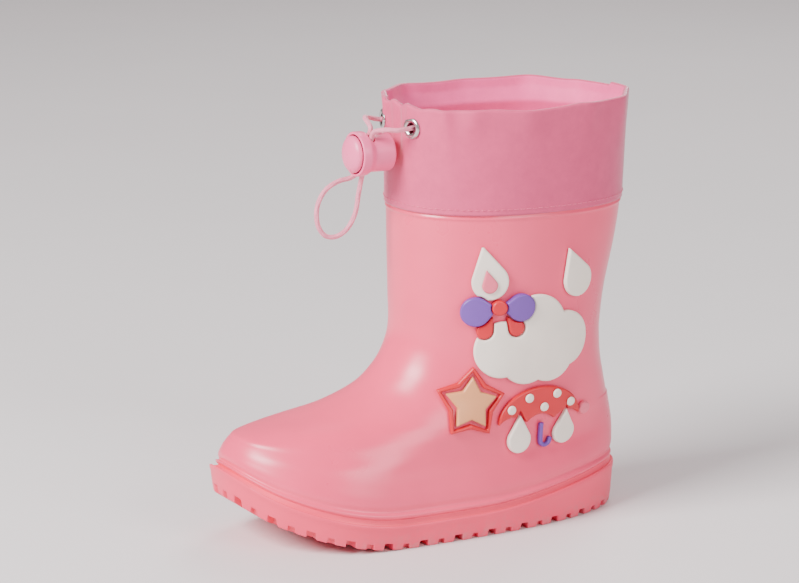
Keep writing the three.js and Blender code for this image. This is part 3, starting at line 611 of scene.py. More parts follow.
def cord_finish(key):
    """Braided elastic: the raised strands are pale and the valleys between them darker, a painted shade,
    with random patches of tone.
    """
    material, nodes, shader, where = new_material(key, 0.62, Sheen_Weight=0.4, Sheen_Roughness=0.4)
    fibre = nodes.noise(where, 2300.0, 4.0, 0.7)
    patch = nodes.noise(where, 240.0, 3.0, 0.6)
    # painted shade: the fibre noise raises the bump and lightens the colour together; the patches are
    # random tone
    tone_and_painted_shade = nodes.span(nodes.math("ADD", fibre, nodes.math("MULTIPLY", patch, 0.6)), 0.55, 1.1)
    tone = nodes.blend(tone_and_painted_shade, shade_of(colours().cord, 0.72), shade_of(colours().cord, 1.08))
    nodes.tree.links.new(tone, shader.inputs["Base Color"])
    nodes.tree.links.new(nodes.span(tone_and_painted_shade, 0, 1, 0.72, 0.52), shader.inputs["Roughness"])
    bumped(nodes, shader, fibre, 0.00004)
    return material


# ---------------------------------------------------------------- settings that a user would change

def tint(name, text, *tone):
    return FloatVectorProperty(
        name=name, description=text, default=(*tone, 1), subtype="COLOR", size=4, min=0.0, max=1.0
    )


def length(name, text, default, **more):
    return FloatProperty(name=name, description=text, default=default, unit="LENGTH", **more)


class RainBootColours(PropertyGroup):
    upper: tint("Upper", "Moulded upper", 0.94, 0.07, 0.17)
    sole: tint("Sole", "Lugged sole", 0.93, 0.05, 0.13)
    collar: tint("Collar", "Cloth collar", 0.7, 0.07, 0.19)
    facing: tint("Facing", "Inside of the collar", 0.96, 0.105, 0.33)
    lining: tint("Lining", "Knit lining", 0.86, 0.3, 0.39)
    cord: tint("Cord", "Drawcord", 0.88, 0.26, 0.38)
    lock: tint("Cord lock", "Cord lock", 0.92, 0.14, 0.32)
    metal: tint("Metal", "Eyelets", 0.62, 0.6, 0.58)
    cream: tint("Cream", "Pale patch pieces", 0.87, 0.78, 0.69)
    red: tint("Red", "Red patch pieces", 0.62, 0.008, 0.02)
    purple: tint("Purple", "Bow and hook", 0.16, 0.06, 0.36)
    tan: tint("Tan", "Star", 0.72, 0.3, 0.13)
    pink: tint("Pink", "Ball and glint", 0.84, 0.14, 0.22)


class RainBootSizes(PropertyGroup):
    fold_depth: length("Fold depth", "Depth of the collar's soft folds", 0.0011)
    braid_pitch: length("Braid pitch", "Length of one turn of the cord's braid", 0.0075)
    braid_strands: IntProperty(name="Braid strands", description="Strands each way around", default=5)
    grain_depth: length("Grain depth", "Depth of the moulded grain", 0.00002, precision=6)
    patch_round: length("Patch rounding", "Radius of the patch pieces' edges", 0.0008)


# ---------------------------------------------------------------- camera and stage


CAMERA_ANGLES = (150.45, 12.93, 0.82)      # azimuth, elevation and roll, in degrees
CAMERA_DISTANCE, CAMERA_LENS, SENSOR_WIDTH = 1.4084, 143.69, 36
CAMERA_TARGET = Vector((0.01262, 0, 0.10614))
FLOOR_HALF = 4000
FLOOR_TONES = ((0.74, 0.7, 0.7, 1), (0.78, 0.74, 0.74, 1))
WORLD_COLOUR, WORLD_STRENGTH = (0.95, 0.86, 0.88, 1), 0.45
LIGHT_TARGET = Vector((0, 0, 0.09))
LIGHTS = (
    ("key", (1.4, 0.25, 1.15), 0.8, 72),
    ("fill", (-0.5, 1.8, 0.9), 0.9, 20),
    ("rim", (-1.1, -1.0, 1.4), 0.8, 14),
)


class RAINBOOT_OT_camera(Operator):
    """Places the camera in front of the boot's outer side"""

    bl_idname = "rainboot.camera"
    bl_label = "Camera"

    def execute(self, context):
        azimuth, elevation, roll = (math.radians(a) for a in CAMERA_ANGLES)
        back = Vector((math.sin(azimuth) * math.cos(elevation), -math.cos(azimuth) * math.cos(elevation),
                       math.sin(elevation)))
        level = Vector((math.cos(azimuth), math.sin(azimuth), 0))
        upright = back.cross(level)
        right = level * math.cos(roll) + upright * math.sin(roll)
        up = back.cross(right)
        data = bpy.data.cameras.new("camera")
        data.lens, data.sensor_width = CAMERA_LENS, SENSOR_WIDTH
        data.clip_end = 20
        camera = bpy.data.objects.new("camera", data)
        camera.matrix_world = Matrix((right, up, back)).transposed().to_4x4()
        camera.location = CAMERA_TARGET + back * CAMERA_DISTANCE
        context.scene.collection.objects.link(camera)
        context.scene.camera = camera
        return {"FINISHED"}


class RAINBOOT_OT_stage(Operator):
    """Adds the pale floor and the soft studio lights"""

    bl_idname = "rainboot.stage"
    bl_label = "Stage"

    def execute(self, context):
        size = FLOOR_HALF
        corners = [(-size, -size, 0), (size, -size, 0), (size, size, 0), (-size, size, 0)]
        floor = new_piece("floor", corners, [(0, 1, 2, 3)], outward=False)
        material, nodes, shader, where = new_material("floor", 0.55)
        tone = nodes.blend(nodes.noise(where, 6.0, 4.0), *FLOOR_TONES)
        nodes.tree.links.new(tone, shader.inputs["Base Color"])
        floor.data.materials.append(material)
        world = bpy.data.worlds.new("studio")
        context.scene.world = world
        world.use_nodes = True
        background = world.node_tree.nodes["Background"].inputs
        background["Color"].default_value = WORLD_COLOUR
        background["Strength"].default_value = WORLD_STRENGTH
        for name, spot, width, power in LIGHTS:
            data = bpy.data.lights.new(name, "AREA")
            data.energy, data.size = power, width
            lamp = bpy.data.objects.new(name, data)
            lamp.location = spot
            lamp.rotation_euler = (LIGHT_TARGET - Vector(spot)).to_track_quat("-Z", "Y").to_euler()
            context.scene.collection.objects.link(lamp)
        return {"FINISHED"}


# ---------------------------------------------------------------- drawcord


def out(side, distance):
    turn = side * EYELET_TURN
    x, y = EYELET_SPOT[0] + distance * math.cos(turn), side * EYELET_SPOT[1] + distance * math.sin(turn)
    return [x, y, EYELET_Z]


def near_lock(x, y, z):
    return (LOCK_SPOT + (x, y, z)).tolist()


def in_lock(up, side):
    """A point of a strand inside the lock: along the hole, upward, on the outer or inner side."""
    across, c, s = side * CORD_GAP, math.cos(LOCK_ROLL), math.sin(LOCK_ROLL)
    return (LOCK_SPOT + (HOLE_MIDDLE, across * c - up * s, across * s + up * c)).tolist()


BRAID_RELIEF = 0.12
CORD_DEPTH = CLOTH + CHANNEL / 2
STUB = -CORD_DEPTH + CORD_DIAMETER / 2 + GAP
FREE_RUN = [
    out(1, STUB),
    out(1, 2.2),
    near_lock(-9, 13.9, 11.6),
    near_lock(-3.9, 11.2, 11.8),
    in_lock(11.8, 1),
    in_lock(7, 1),
    in_lock(0, 1),
    in_lock(-9.6, 1),
    near_lock(-0.4, -5.2, -18.6),
    near_lock(1.1, -5.8, -28.1),
    near_lock(4.9, -6.6, -34.8),
    near_lock(10.2, -7.4, -37.6),
    near_lock(15.3, -8, -36.2),
    near_lock(18.3, -8.4, -30.6),
    near_lock(17.9, -8.6, -22.6),
    near_lock(13.7, -8.6, -16.2),
    near_lock(7.3, -8.4, -13),
    near_lock(1.9, -7.2, -11.6),
    in_lock(-9.6, -1),
    in_lock(0, -1),
    in_lock(7, -1),
    in_lock(12.2, -1),
    near_lock(-2.7, -4.4, 14.6),
    near_lock(-8.7, -12.2, 13.2),
    out(-1, 2.2),
    out(-1, STUB),
]


class RAINBOOT_OT_drawcord(Operator):
    """Braids the drawcord: the free loop, and the stretch inside the collar"""

    bl_idname = "rainboot.drawcord"
    bl_label = "Drawcord"

    def execute(self, context):
        material = finish("braided elastic", cord_finish)
        pitch, strands = sizes().braid_pitch / MM, sizes().braid_strands
        run = catmull_rom(FREE_RUN, 24)
        points, faces, line = braided_tube(run, CORD_DIAMETER, pitch, strands, BRAID_RELIEF)
        loop = new_piece("drawcord", points, faces)
        settle(loop, "cord_tail", "cord_elastic", material, "drawcord_loop")
        angles = np.radians(np.arange(20, 341, 5))
        x, y = outline(collar_section(EYELET_Z), angles, -CORD_DEPTH)
        run = np.stack([x, y, np.full_like(x, EYELET_Z)], 1)
        run = catmull_rom(run, 8)
        detail = {"sides": 16, "step": 0.5}
        points, faces, _ = braided_tube(run, CORD_DIAMETER, pitch, strands, BRAID_RELIEF, **detail)
        hidden = new_piece("drawcord_casing_run", points, faces)
        settle(hidden, "boot", "cord_elastic", material, "drawcord_in_collar")
        return {"FINISHED"}


# ---------------------------------------------------------------- upper

COUNTER_EDGE = np.array([
    (-92, 53.2), (-78.9, 52.4), (-62, 48.5), (-43.9, 42.1), (-31.4, 35.6), (-26.8, 32), (-23.2, 28.6),
    (-20.6, 24.8), (-19.3, 20.3), (-18.8, 16.5),
])
WELT_HALF, BEAD_HALF, LIP_CROWN = 1.25, 0.7, 0.5
CREASE_DEPTH, CREASE_RISE, CREASE_HALF = 0.35, 2.6, 1.1
COUNTER_RELIEF, COUNTER_STEP, COUNTER_BACK, COUNTER_FADE = 0.45, 0.5, 88, 14


def counter_height(x, z):
    """How far inside the raised heel counter a place on the upper lies, in millimetres."""
    a, b = COUNTER_EDGE[:-1], COUNTER_EDGE[1:]
    spot = np.stack([x, z], -1)[..., None, :]
    along = np.clip(((spot - a) * (b - a)).sum(-1) / ((b - a) ** 2).sum(-1), 0, 1)
    nearest = a + along[..., None] * (b - a)
    gap = np.linalg.norm(spot - nearest, axis=-1)
    k = gap.argmin(-1)
    way = (b - a)[k]
    delta = np.stack([x, z], -1) - a[k]
    side = np.sign(way[..., 0] * delta[..., 1] - way[..., 1] * delta[..., 0])
    return -side * gap.min(-1)


def upper_grow(z, x, lift):
    """Ridges and reliefs on the outside of the upper."""
    grow = WELT_BULGE * np.exp(-np.abs((z - WELT_HEIGHT) / WELT_HALF) ** 3)
    grow -= CREASE_DEPTH * hump(z - WELT_HEIGHT - CREASE_RISE, CREASE_HALF)
    grow += BEAD_BULGE * hump(z - HEM_HEIGHT + BEAD_DROP, BEAD_HALF)
    edge = smooth((counter_height(x, lift) + COUNTER_STEP / 2) / COUNTER_STEP)
    raised = COUNTER_RELIEF * edge * smooth((COUNTER_BACK + x) / -COUNTER_FADE + 1)
    return grow + raised * smooth((z - WELT_HEIGHT - 1.5) / 2)


class RAINBOOT_OT_upper(Operator):
    """Moulds the upper with its welt, heel counter and the bead under the collar"""

    bl_idname = "rainboot.upper"
    bl_label = "Upper"

    def execute(self, context):
        angle = turn_angles(240)
        heights = np.unique(np.concatenate([
            np.linspace(0, TOP_LEVEL, 110),
            [level_of(z) for z in np.arange(WELT_HEIGHT - 3.2, WELT_HEIGHT + 4.4, 0.4)],
            [level_of(z) for z in np.arange(16, 56, 0.8)],
            [level_of(z) for z in np.arange(HEM_HEIGHT - 3.6, HEM_HEIGHT + 0.6, 0.35)],
        ]))
        outside = []
        for t in heights:
            section = section_at(t)
            base = ring(section, angle)
            outside.append(ring(section, angle, upper_grow(section[0], base[:, 0], base[:, 2])))
        inside = [
            inner_ring(t, angle, SHELL_WALL, SHELL_FLOOR + FLOOR_WALL)
            for t in np.linspace(level_of(SHELL_FLOOR + FLOOR_WALL), TOP_LEVEL, 60)
        ]
        lip = [
            mix(outside[-1], inside[-1], k) + [0, 0, LIP_CROWN * math.sin(k * math.pi)]
            for k in (0.15, 0.5, 0.85)
        ]
        upper = new_piece("boot_upper", *loft(outside + lip + inside[::-1]), sharp=50)

        def look(key):
            depth = sizes().grain_depth
            return rubber(key, colours().upper, 0.3, depth=depth, dust=0.25, ground_darkening_reach=0.022, coat=0.35)

        settle(upper, "boot", "pvc_upper", finish("cast upper", look), "boot_shell")
        return {"FINISHED"}


# ---------------------------------------------------------------- sole


# The sole's edge: the rounded foot of its lugs, and its rim by height above the rim's own.
SOLE_FOOT = ((1.75, 0.15), (1.6, 0.5), (1.45, 1.2), (1.3, 2.2), (1.1, LUG_HEIGHT))
SOLE_RIM = (
    (0.15, -1.9), (0, -1.3), (0, -0.7), (0.12, -0.25), (0.4, 0),
    (0.8, 0.05), (1.15, -0.15), (1.35, -0.15), (1.7, 0.5),
)


def sole_outline(angle, inset):
    return outline([0, TOE, HEEL, BALL_WIDTH / 2, WIDEST_INSET, 1], angle, -inset)


def soft_box(distance, half, soft=0.35):
    """1 inside a band of this half width, falling to 0 over a soft edge."""
    return smooth((half + soft / 2 - np.abs(distance)) / soft)


def notch_depth(along, total, inset):
    """How deep the edge notches cut, at a place along the edge and in from it."""
    count = 2 * round(total / LUG_PITCH / 2)
    k = np.floor(along / total * count)
    off = along - (k + 0.5) * total / count
    wide = (k % 2) == 1
    half = np.where(wide, NOTCH_WIDTH, NOTCH_WIDTH * 0.75) / 2
    reach = np.where(wide, NOTCH_REACH, NOTCH_REACH / 2)
    depth = LUG_HEIGHT * np.where(wide, 1, 0.8)
    return depth * smooth((half + 0.2 - np.abs(off)) / 0.4) * smooth((reach + 0.2 - inset) / 0.4)


def groove_depth(x, y):
    """How deep the chevron grooves cut."""
    half = BALL_WIDTH / 2 - NOTCH_REACH - TREAD_MARGIN
    count = int((SOLE_LENGTH - 50) // GROOVE_PITCH)
    slant = math.pi / 7
    deepest = np.zeros_like(x)
    for k in range(count):
        at = (k - (count - 1) / 2) * GROOVE_PITCH
        narrow = max(1 - max(-at - 30, at - 55, 0) / 90, 0.55)
        arm = half * narrow / math.cos(slant)
        middle = -SWEEP * np.clip((at - (TOE - WIDEST_INSET)) / WIDEST_INSET, 0, 1) ** 2
        for side in (1, -1):
            cx, cy = at - math.sin(slant) * arm * 0.5, middle + side * math.cos(slant) * arm * 0.5
            c, s = math.cos(side * slant), math.sin(side * slant)
            across, along = (x - cx) * c + (y - cy) * s, -(x - cx) * s + (y - cy) * c
            inside = soft_box(across, GROOVE_WIDTH / 2) * soft_box(along, arm / 2)
            deepest = np.maximum(deepest, LUG_HEIGHT * inside)
    return deepest


class RAINBOOT_OT_sole(Operator):
    """Moulds the lugged sole"""

    bl_idname = "rainboot.sole"
    bl_label = "Sole"

    def execute(self, context):
        dense = np.linspace(0, 2 * math.pi, 4001)
        x, y = sole_outline(dense, 0)
        along = walked(np.stack([x, y], 1))
        total = along[-1]
        count = 1260
        stops = np.arange(count) * total / count
        angle = np.interp(stops, along, dense)

        def edge(inset, z, notch_inset=0.0):
            px, py = sole_outline(angle, inset)
            low = notch_depth(stops, total, notch_inset)
            height = np.maximum(z, low) if z < LUG_HEIGHT + 0.2 else np.full(count, float(z))
            return np.stack([px, py, height], 1)

        spine = np.clip(sole_outline(angle, 0)[0], -62, 62)
        centre = -SWEEP * np.clip((spine - (TOE - WIDEST_INSET)) / WIDEST_INSET, 0, 1) ** 2
        rows = []
        for share in np.linspace(1, 0, 90) ** 0.9:
            ex, ey = sole_outline(angle, 2.1)
            px, py = mix(spine, ex, share), mix(centre, ey, share)
            inset = np.hypot(px - ex, py - ey) + 2.1
            depth = np.maximum(notch_depth(stops, total, inset), groove_depth(px, py))
            rows.append(np.stack([px, py, depth], 1))
        wall = [edge(inset, z) for inset, z in SOLE_FOOT]
        top = RIM_HEIGHT - 2.4
        wall += [edge(mix(1.1, 0.4, k), mix(LUG_HEIGHT, top, k)) for k in (0.1, 0.35, 0.65, 1)]
        wall += [edge(inset, RIM_HEIGHT + above) for inset, above in SOLE_RIM]
        socket = []
        for height in (RIM_HEIGHT + RIM_FILLET, RIM_HEIGHT, (RIM_HEIGHT + SHELL_FLOOR) / 2, SHELL_FLOOR):
            px, py = outline(section_at(level_of(height)), angle, GAP)
            level = height if height > SHELL_FLOOR else height - GAP
            socket.append(np.stack([px, py, np.full(count, level)], 1))
        points, faces = loft(rows[::-1] + wall + socket)
        up = smooth((points[:, 2] - LUG_HEIGHT) / (RIM_HEIGHT - LUG_HEIGHT))
        lift = (toe_lift(points[:, 0]) + heel_lift(points[:, 0]) * up) * fade(points[:, 2])
        points[:, 2] += lift
        sole = new_piece("boot_sole", points, faces, sharp=55)

        def look(key):
            depth = sizes().grain_depth * 1.4
            return rubber(key, colours().sole, 0.36, depth=depth, dust=0.7, ground_darkening_reach=0.014, coat=0.15)

        settle(sole, "boot", "pvc_sole", finish("cast sole", look), "outsole")
        return {"FINISHED"}


# ---------------------------------------------------------------- lining and insole


FOAM_COLOUR, COVER_COLOUR = (0.86, 0.8, 0.77, 1), (0.8, 0.42, 0.5, 1)


class RAINBOOT_OT_lining(Operator):
    """Knits the sock lining and lays the insole on it"""

    bl_idname = "rainboot.lining"
    bl_label = "Lining and insole"

    def execute(self, context):
        angle = turn_angles(160)
        depth, floor = SHELL_WALL + LINING_GAP, SHELL_FLOOR + FLOOR_WALL + GAP
        levels = np.linspace(level_of(SHELL_FLOOR + FLOOR_WALL), level_of(LINING_TOP), 70)
        outer = [inner_ring(t, angle, depth, floor) for t in levels]
        inner = [inner_ring(t, angle, depth + LINING_WALL, floor + LINING_WALL) for t in levels]
        inner[-1][:, 2] = outer[-1][:, 2]
        lining = new_piece("sock_lining_knit", *loft(outer + inner[::-1]), sharp=50)

        def knit(key):
            return cloth(key, colours().lining, 0.0011, 0.00012, roughness=0.85, sheen=0.3, radius=0.045)

        settle(lining, "boot", "lining_knit", finish("knit lining", knit), "sock_lining")
        section = section_at(levels[0])
        grow = -(depth + LINING_WALL + INSOLE_CLEARANCE)
        low = floor + LINING_WALL + GAP
        steps = [
            ("insole_foam_sheet", "insole_foam", "insole_foam", low, FOAM_THICKNESS, FOAM_COLOUR),
            ("insole_cover_sheet", "insole_cloth", "insole_cover", low + FOAM_THICKNESS + GAP,
             COVER_THICKNESS, COVER_COLOUR),
        ]
        for name, slot, node, height, thickness, colour in steps:
            edge = min(0.5, thickness / 2.2)
            shrunk = [(1.5 * edge, 0), (0.4 * edge, 0.3 * edge), (0, edge), (0, thickness - edge),
                      (0.4 * edge, thickness - 0.3 * edge), (1.5 * edge, thickness)]
            rings = [ring(section, angle, grow - inset, height + up) for inset, up in shrunk]
            points, faces = loft(rings)
            piece = new_piece(name, points, faces, sharp=50)
            if node == "insole_foam":
                material = finish(name, lambda key: rubber(key, colour, 0.8, grain=1600.0, depth=0.0001))
            else:
                material = finish(name, lambda key: cloth(key, colour, 0.0012, 0.0001, roughness=0.9))
            settle(piece, "boot", slot, material, node)
        return {"FINISHED"}


# ---------------------------------------------------------------- cloth collar


def turned_front(angle):
    """The angle from the front of the collar, from minus half a turn to half a turn."""
    return (angle + math.pi) % (2 * math.pi) - math.pi


# Soft folds: where each crosses the rim, its slant down the cloth, its width, its height, and how
# far down the cloth it runs.
FOLDS = (
    (0.62, 0.16, 0.07, 1.5, 0.35),
    (0.92, -0.2, 0.1, 1.1, 0.5),
    (1.35, 0.22, 0.12, 1.3, 0.55),
    (1.85, -0.12, 0.1, 0.9, 0.45),
    (2.3, 0.18, 0.14, 1.2, 0.4),
    (2.85, -0.15, 0.11, 1.1, 0.5),
    (-0.62, -0.16, 0.08, 1.3, 0.4),
    (-1.05, 0.2, 0.12, 1.2, 0.5),
    (-1.6, -0.18, 0.1, 1.0, 0.45),
    (-2.15, 0.15, 0.13, 1.3, 0.5),
    (-2.7, -0.1, 0.1, 0.9, 0.4),
)


BROAD_WAVE, PINCH_DEPTH, PINCH_SHOULDER, CREASES, CREASE_COUNT = 0.9, -2.1, 0.9, 0.55, 41
# The dips of the rim by the front: where each lies around it, its width and how far it falls.
RIM_DIPS = ((0.05, 0.075, 3.2), (-0.15, 0.05, 1.6), (0.34, 0.1, 1.4))
RIM_WAVE, RIM_SAG = 1.7, 1.2
RIM_STEP, STEP_START, STEP_LENGTH = 1.3, 1.55, 0.25
# The facing, from the rim down: height, and depth from the collar's outer face.
FACING = [
    (COLLAR_HEIGHT - 1.2, 2.15), (188, 2.3), (184.6, 3.6), (EYELET_Z, 4.75), (178.4, 3.8), (174, 2.6),
    (162, 3.0), (SHAFT_HEIGHT + 2, 4.5), (SHAFT_HEIGHT, 4.55), (INNER_HEM_HEIGHT, 4.55),
]
TURNOVER, EYELET_CUT, SHEET_THICKNESS = 1.2, 3.3, 0.5
STITCH_ROW, STITCH_PITCH, STITCH_LENGTH, STITCH_RISE, THREAD = 3, 2.9, 2.1, 0.55, 0.36


def around(angle, scale, height):
    """Slow noise on a circle of this size."""
    spots = [Vector((math.cos(a) * scale, math.sin(a) * scale, height)) for a in angle]
    return np.array([noise.noise(spot) for spot in spots])


def fold(angle, up):
    """The collar's folds: how far the cloth stands in or out, from the hem (0) to the rim (1)."""
    front = turned_front(angle)
    broad = around(angle, 1.7, up * 0.7)
    total = BROAD_WAVE * broad * up
    for spot, slant, width, height, low in FOLDS:
        here = turned_front(front - spot - slant * (1 - up))
        total += height * hump(here, width) * smooth((up - low) / (1 - low))
    total *= sizes().fold_depth / MM
    reach = smooth((up - 0.25) / 0.55)
    pinch = PINCH_DEPTH * hump(front, 0.12) + PINCH_SHOULDER * hump(np.abs(front) - 0.2, 0.06)
    creases = CREASES * np.cos(front * CREASE_COUNT + 2.2 * up) * hump(front, 0.3) * mix(0.4, 1, up)
    return total + (pinch + creases) * reach


def rim_wave(angle):
    """How far the rim dips or rises around the mouth."""
    front = turned_front(angle)
    wave = around(angle, 1.8, 4)
    step = RIM_STEP * smooth((front - STEP_START) / STEP_LENGTH) * (front > 0)
    dip = -sum(depth * hump(front - spot, width) for spot, width, depth in RIM_DIPS)
    return RIM_WAVE * wave - RIM_SAG + dip + step


class RAINBOOT_OT_collar(Operator):
    """Folds the cloth collar over the shaft, with its row of stitches"""

    bl_idname = "rainboot.collar"
    bl_label = "Collar"

    def execute(self, context):
        angle = turn_angles(336)
        half = CLOTH / 2
        span = COLLAR_HEIGHT - HEM_HEIGHT
        rows = []

        def row(z, depth, share):
            height = min(z, COLLAR_HEIGHT)
            x, y = outline(collar_section(height), angle, -depth)
            mid = np.stack([x, y], 1)
            out_x, out_y = outline(collar_section(height), angle, 1 - depth)
            way = np.stack([out_x, out_y], 1) - mid
            way /= np.linalg.norm(way, axis=1)[:, None]
            up = min(max((z - HEM_HEIGHT) / span, 0), 1)
            moved = mid + way * (fold(angle, up) * share)[:, None]
            drop = rim_wave(angle) * smooth((up - 0.55) / 0.45)
            return np.column_stack([moved, np.full(len(angle), z) + drop])

        turn = COLLAR_HEIGHT - TURNOVER
        for z in np.linspace(HEM_HEIGHT, turn, 56):
            rows.append(row(z, half, 1))
        for k in range(1, 8):
            a = k * math.pi / 8
            rows.append(row(turn + 0.8 * math.sin(a), half + 0.9 * (1 - math.cos(a)), 1))
        heights, depths = np.array(FACING)[::-1].T
        for z in np.linspace(turn, INNER_HEM_HEIGHT, 66):
            share = smooth((z - SHAFT_HEIGHT - 2) / 12) * (1 - 0.6 * hump(z - EYELET_Z, 5))
            rows.append(row(z, float(np.interp(z, heights, depths)), share))
        points, faces = loft(rows, caps=False)
        centres = np.array([points[f].mean(axis=0) for f in faces])
        keep = np.ones(len(faces), bool)
        for side in (1, -1):
            spot = np.array([EYELET_SPOT[0], side * EYELET_SPOT[1], EYELET_Z])
            near = np.linalg.norm(centres - spot, axis=1) < EYELET_CUT
            keep &= ~(near & (np.arange(len(faces)) < 60 * len(angle)))
        faces = [f for f, wanted in zip(faces, keep) if wanted]
        collar = new_piece("collar_cloth", points, faces, outward=False)
        solidify = collar.modifiers.new("thickness", "SOLIDIFY")
        solidify.thickness, solidify.offset = SHEET_THICKNESS * MM, 0
        bake_modifiers(collar)
        collar.data.shade_smooth()
        first, second = (
            finish(name, lambda key: cloth(key, tone, 0.0007, 0.00003, sheen=0.6))
            for name, tone in (("collar cloth", colours().collar), ("collar facing", colours().facing))
        )
        settle(collar, "boot", "collar_nylon", first, "collar_fabric")
        collar.data.materials.append(second)
        split_facing(collar)
        self.stitch(rows)
        return {"FINISHED"}

    def stitch(self, rows):
        """A row of lockstitch that holds the hem."""
        line = np.vstack([rows[STITCH_ROW], rows[STITCH_ROW][:1]])
        stops = walked(line)
        count = int(stops[-1] / STITCH_PITCH)
        centre = line.mean(axis=0)
        points, faces = [], []
        for k in range(count):
            s = (k + 0.5) * stops[-1] / count
            path = []
            for t in np.linspace(-0.5, 0.5, 7):
                p = np.array([np.interp(s + t * STITCH_LENGTH, stops, line[:, i]) for i in range(3)])
                way = p - centre
                way[2] = 0
                way /= np.linalg.norm(way)
                path.append(p + way * (STITCH_RISE * (1 - (2 * t) ** 4) - 0.02))
            tube, quads, _ = braided_tube(np.array(path), THREAD, 1.0, 2, 0.03, sides=8, step=0.35)
            below = sum(len(b) for b in points)
            faces += [[i + below for i in q] for q in quads]
            points.append(tube)
        piece = new_piece("hem_stitches", np.concatenate(points), faces)
        settle(piece, "boot", "collar_nylon", finish("sewing thread", thread_finish))


def thread_finish(key):
    material, nodes, shader, where = new_material(key, 0.6, Sheen_Weight=0.5)
    twist = nodes.noise(where, 3200.0, 3.0, 0.6)
    tone = nodes.blend(twist, shade_of(colours().collar, 0.95), shade_of(colours().collar, 1.3))
    nodes.tree.links.new(tone, shader.inputs["Base Color"])
    bumped(nodes, shader, twist, 0.00003)
    return material


def split_facing(collar):
    """Gives the faces that look into the boot the brighter facing finish."""
    axis = Vector(((HEEL + 60) * MM, 0))
    for polygon in collar.data.polygons:
        outward = Vector(polygon.center[:2]) - axis
        if outward.dot(Vector(polygon.normal[:2])) < 0 and polygon.normal[2] < 0.6:
            polygon.material_index = 1


# ---------------------------------------------------------------- eyelets


class RAINBOOT_OT_eyelets(Operator):
    """Turns the two metal eyelets and finishes their washers"""

    bl_idname = "rainboot.eyelets"
    bl_label = "Eyelets"

    def execute(self, context):
        look = finish("nickel plate", lambda key: metal(key, colours().metal, 0.2))
        bore, barrel, flange = EYELET_BORE / 2, EYELET_BARREL / 2, EYELET_FLANGE / 2
        seat = GAP - 0.05
        rolled = []
        for k in np.linspace(0, 0.96, 14):
            bulge = math.sin(math.pi * (0.12 + 0.88 * k)) ** 0.6
            rolled.append((mix(bore, flange - 0.05, k), GAP + EYELET_THICKNESS * bulge))
        profile = [(bore, -CLOTH), (barrel, -CLOTH), (barrel, seat), (flange, seat), (flange, GAP + 0.25)]
        profile += rolled[::-1]
        for name, side in (("outer", 1), ("inner", -1)):
            piece = new_piece(f"eyelet_{name}_ring", *turned(profile, 72), sharp=45)
            place(piece, eyelet_matrix(side))
            settle(piece, "boot", "eyelet_nickel", look, f"eyelet_{name}")
            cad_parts[f"eyelet_washer_{name}"].data.materials.clear()
            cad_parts[f"eyelet_washer_{name}"].data.materials.append(look)
        return {"FINISHED"}


# ---------------------------------------------------------------- cord lock


def slot_tool(width, height, z):
    """A long tool with rounded sides, along the lock's X."""
    r = height / 2
    angle = turn_angles(32)
    y = np.sign(np.cos(angle)) * (width / 2 - r) + r * np.cos(angle)
    ends = (-1.5 * LOCK_RADIUS, 1.5 * LOCK_RADIUS)
    rings = [np.stack([np.full(32, x), y, z + r * np.sin(angle)], 1) for x in ends]
    return new_piece("tool", *loft(rings))


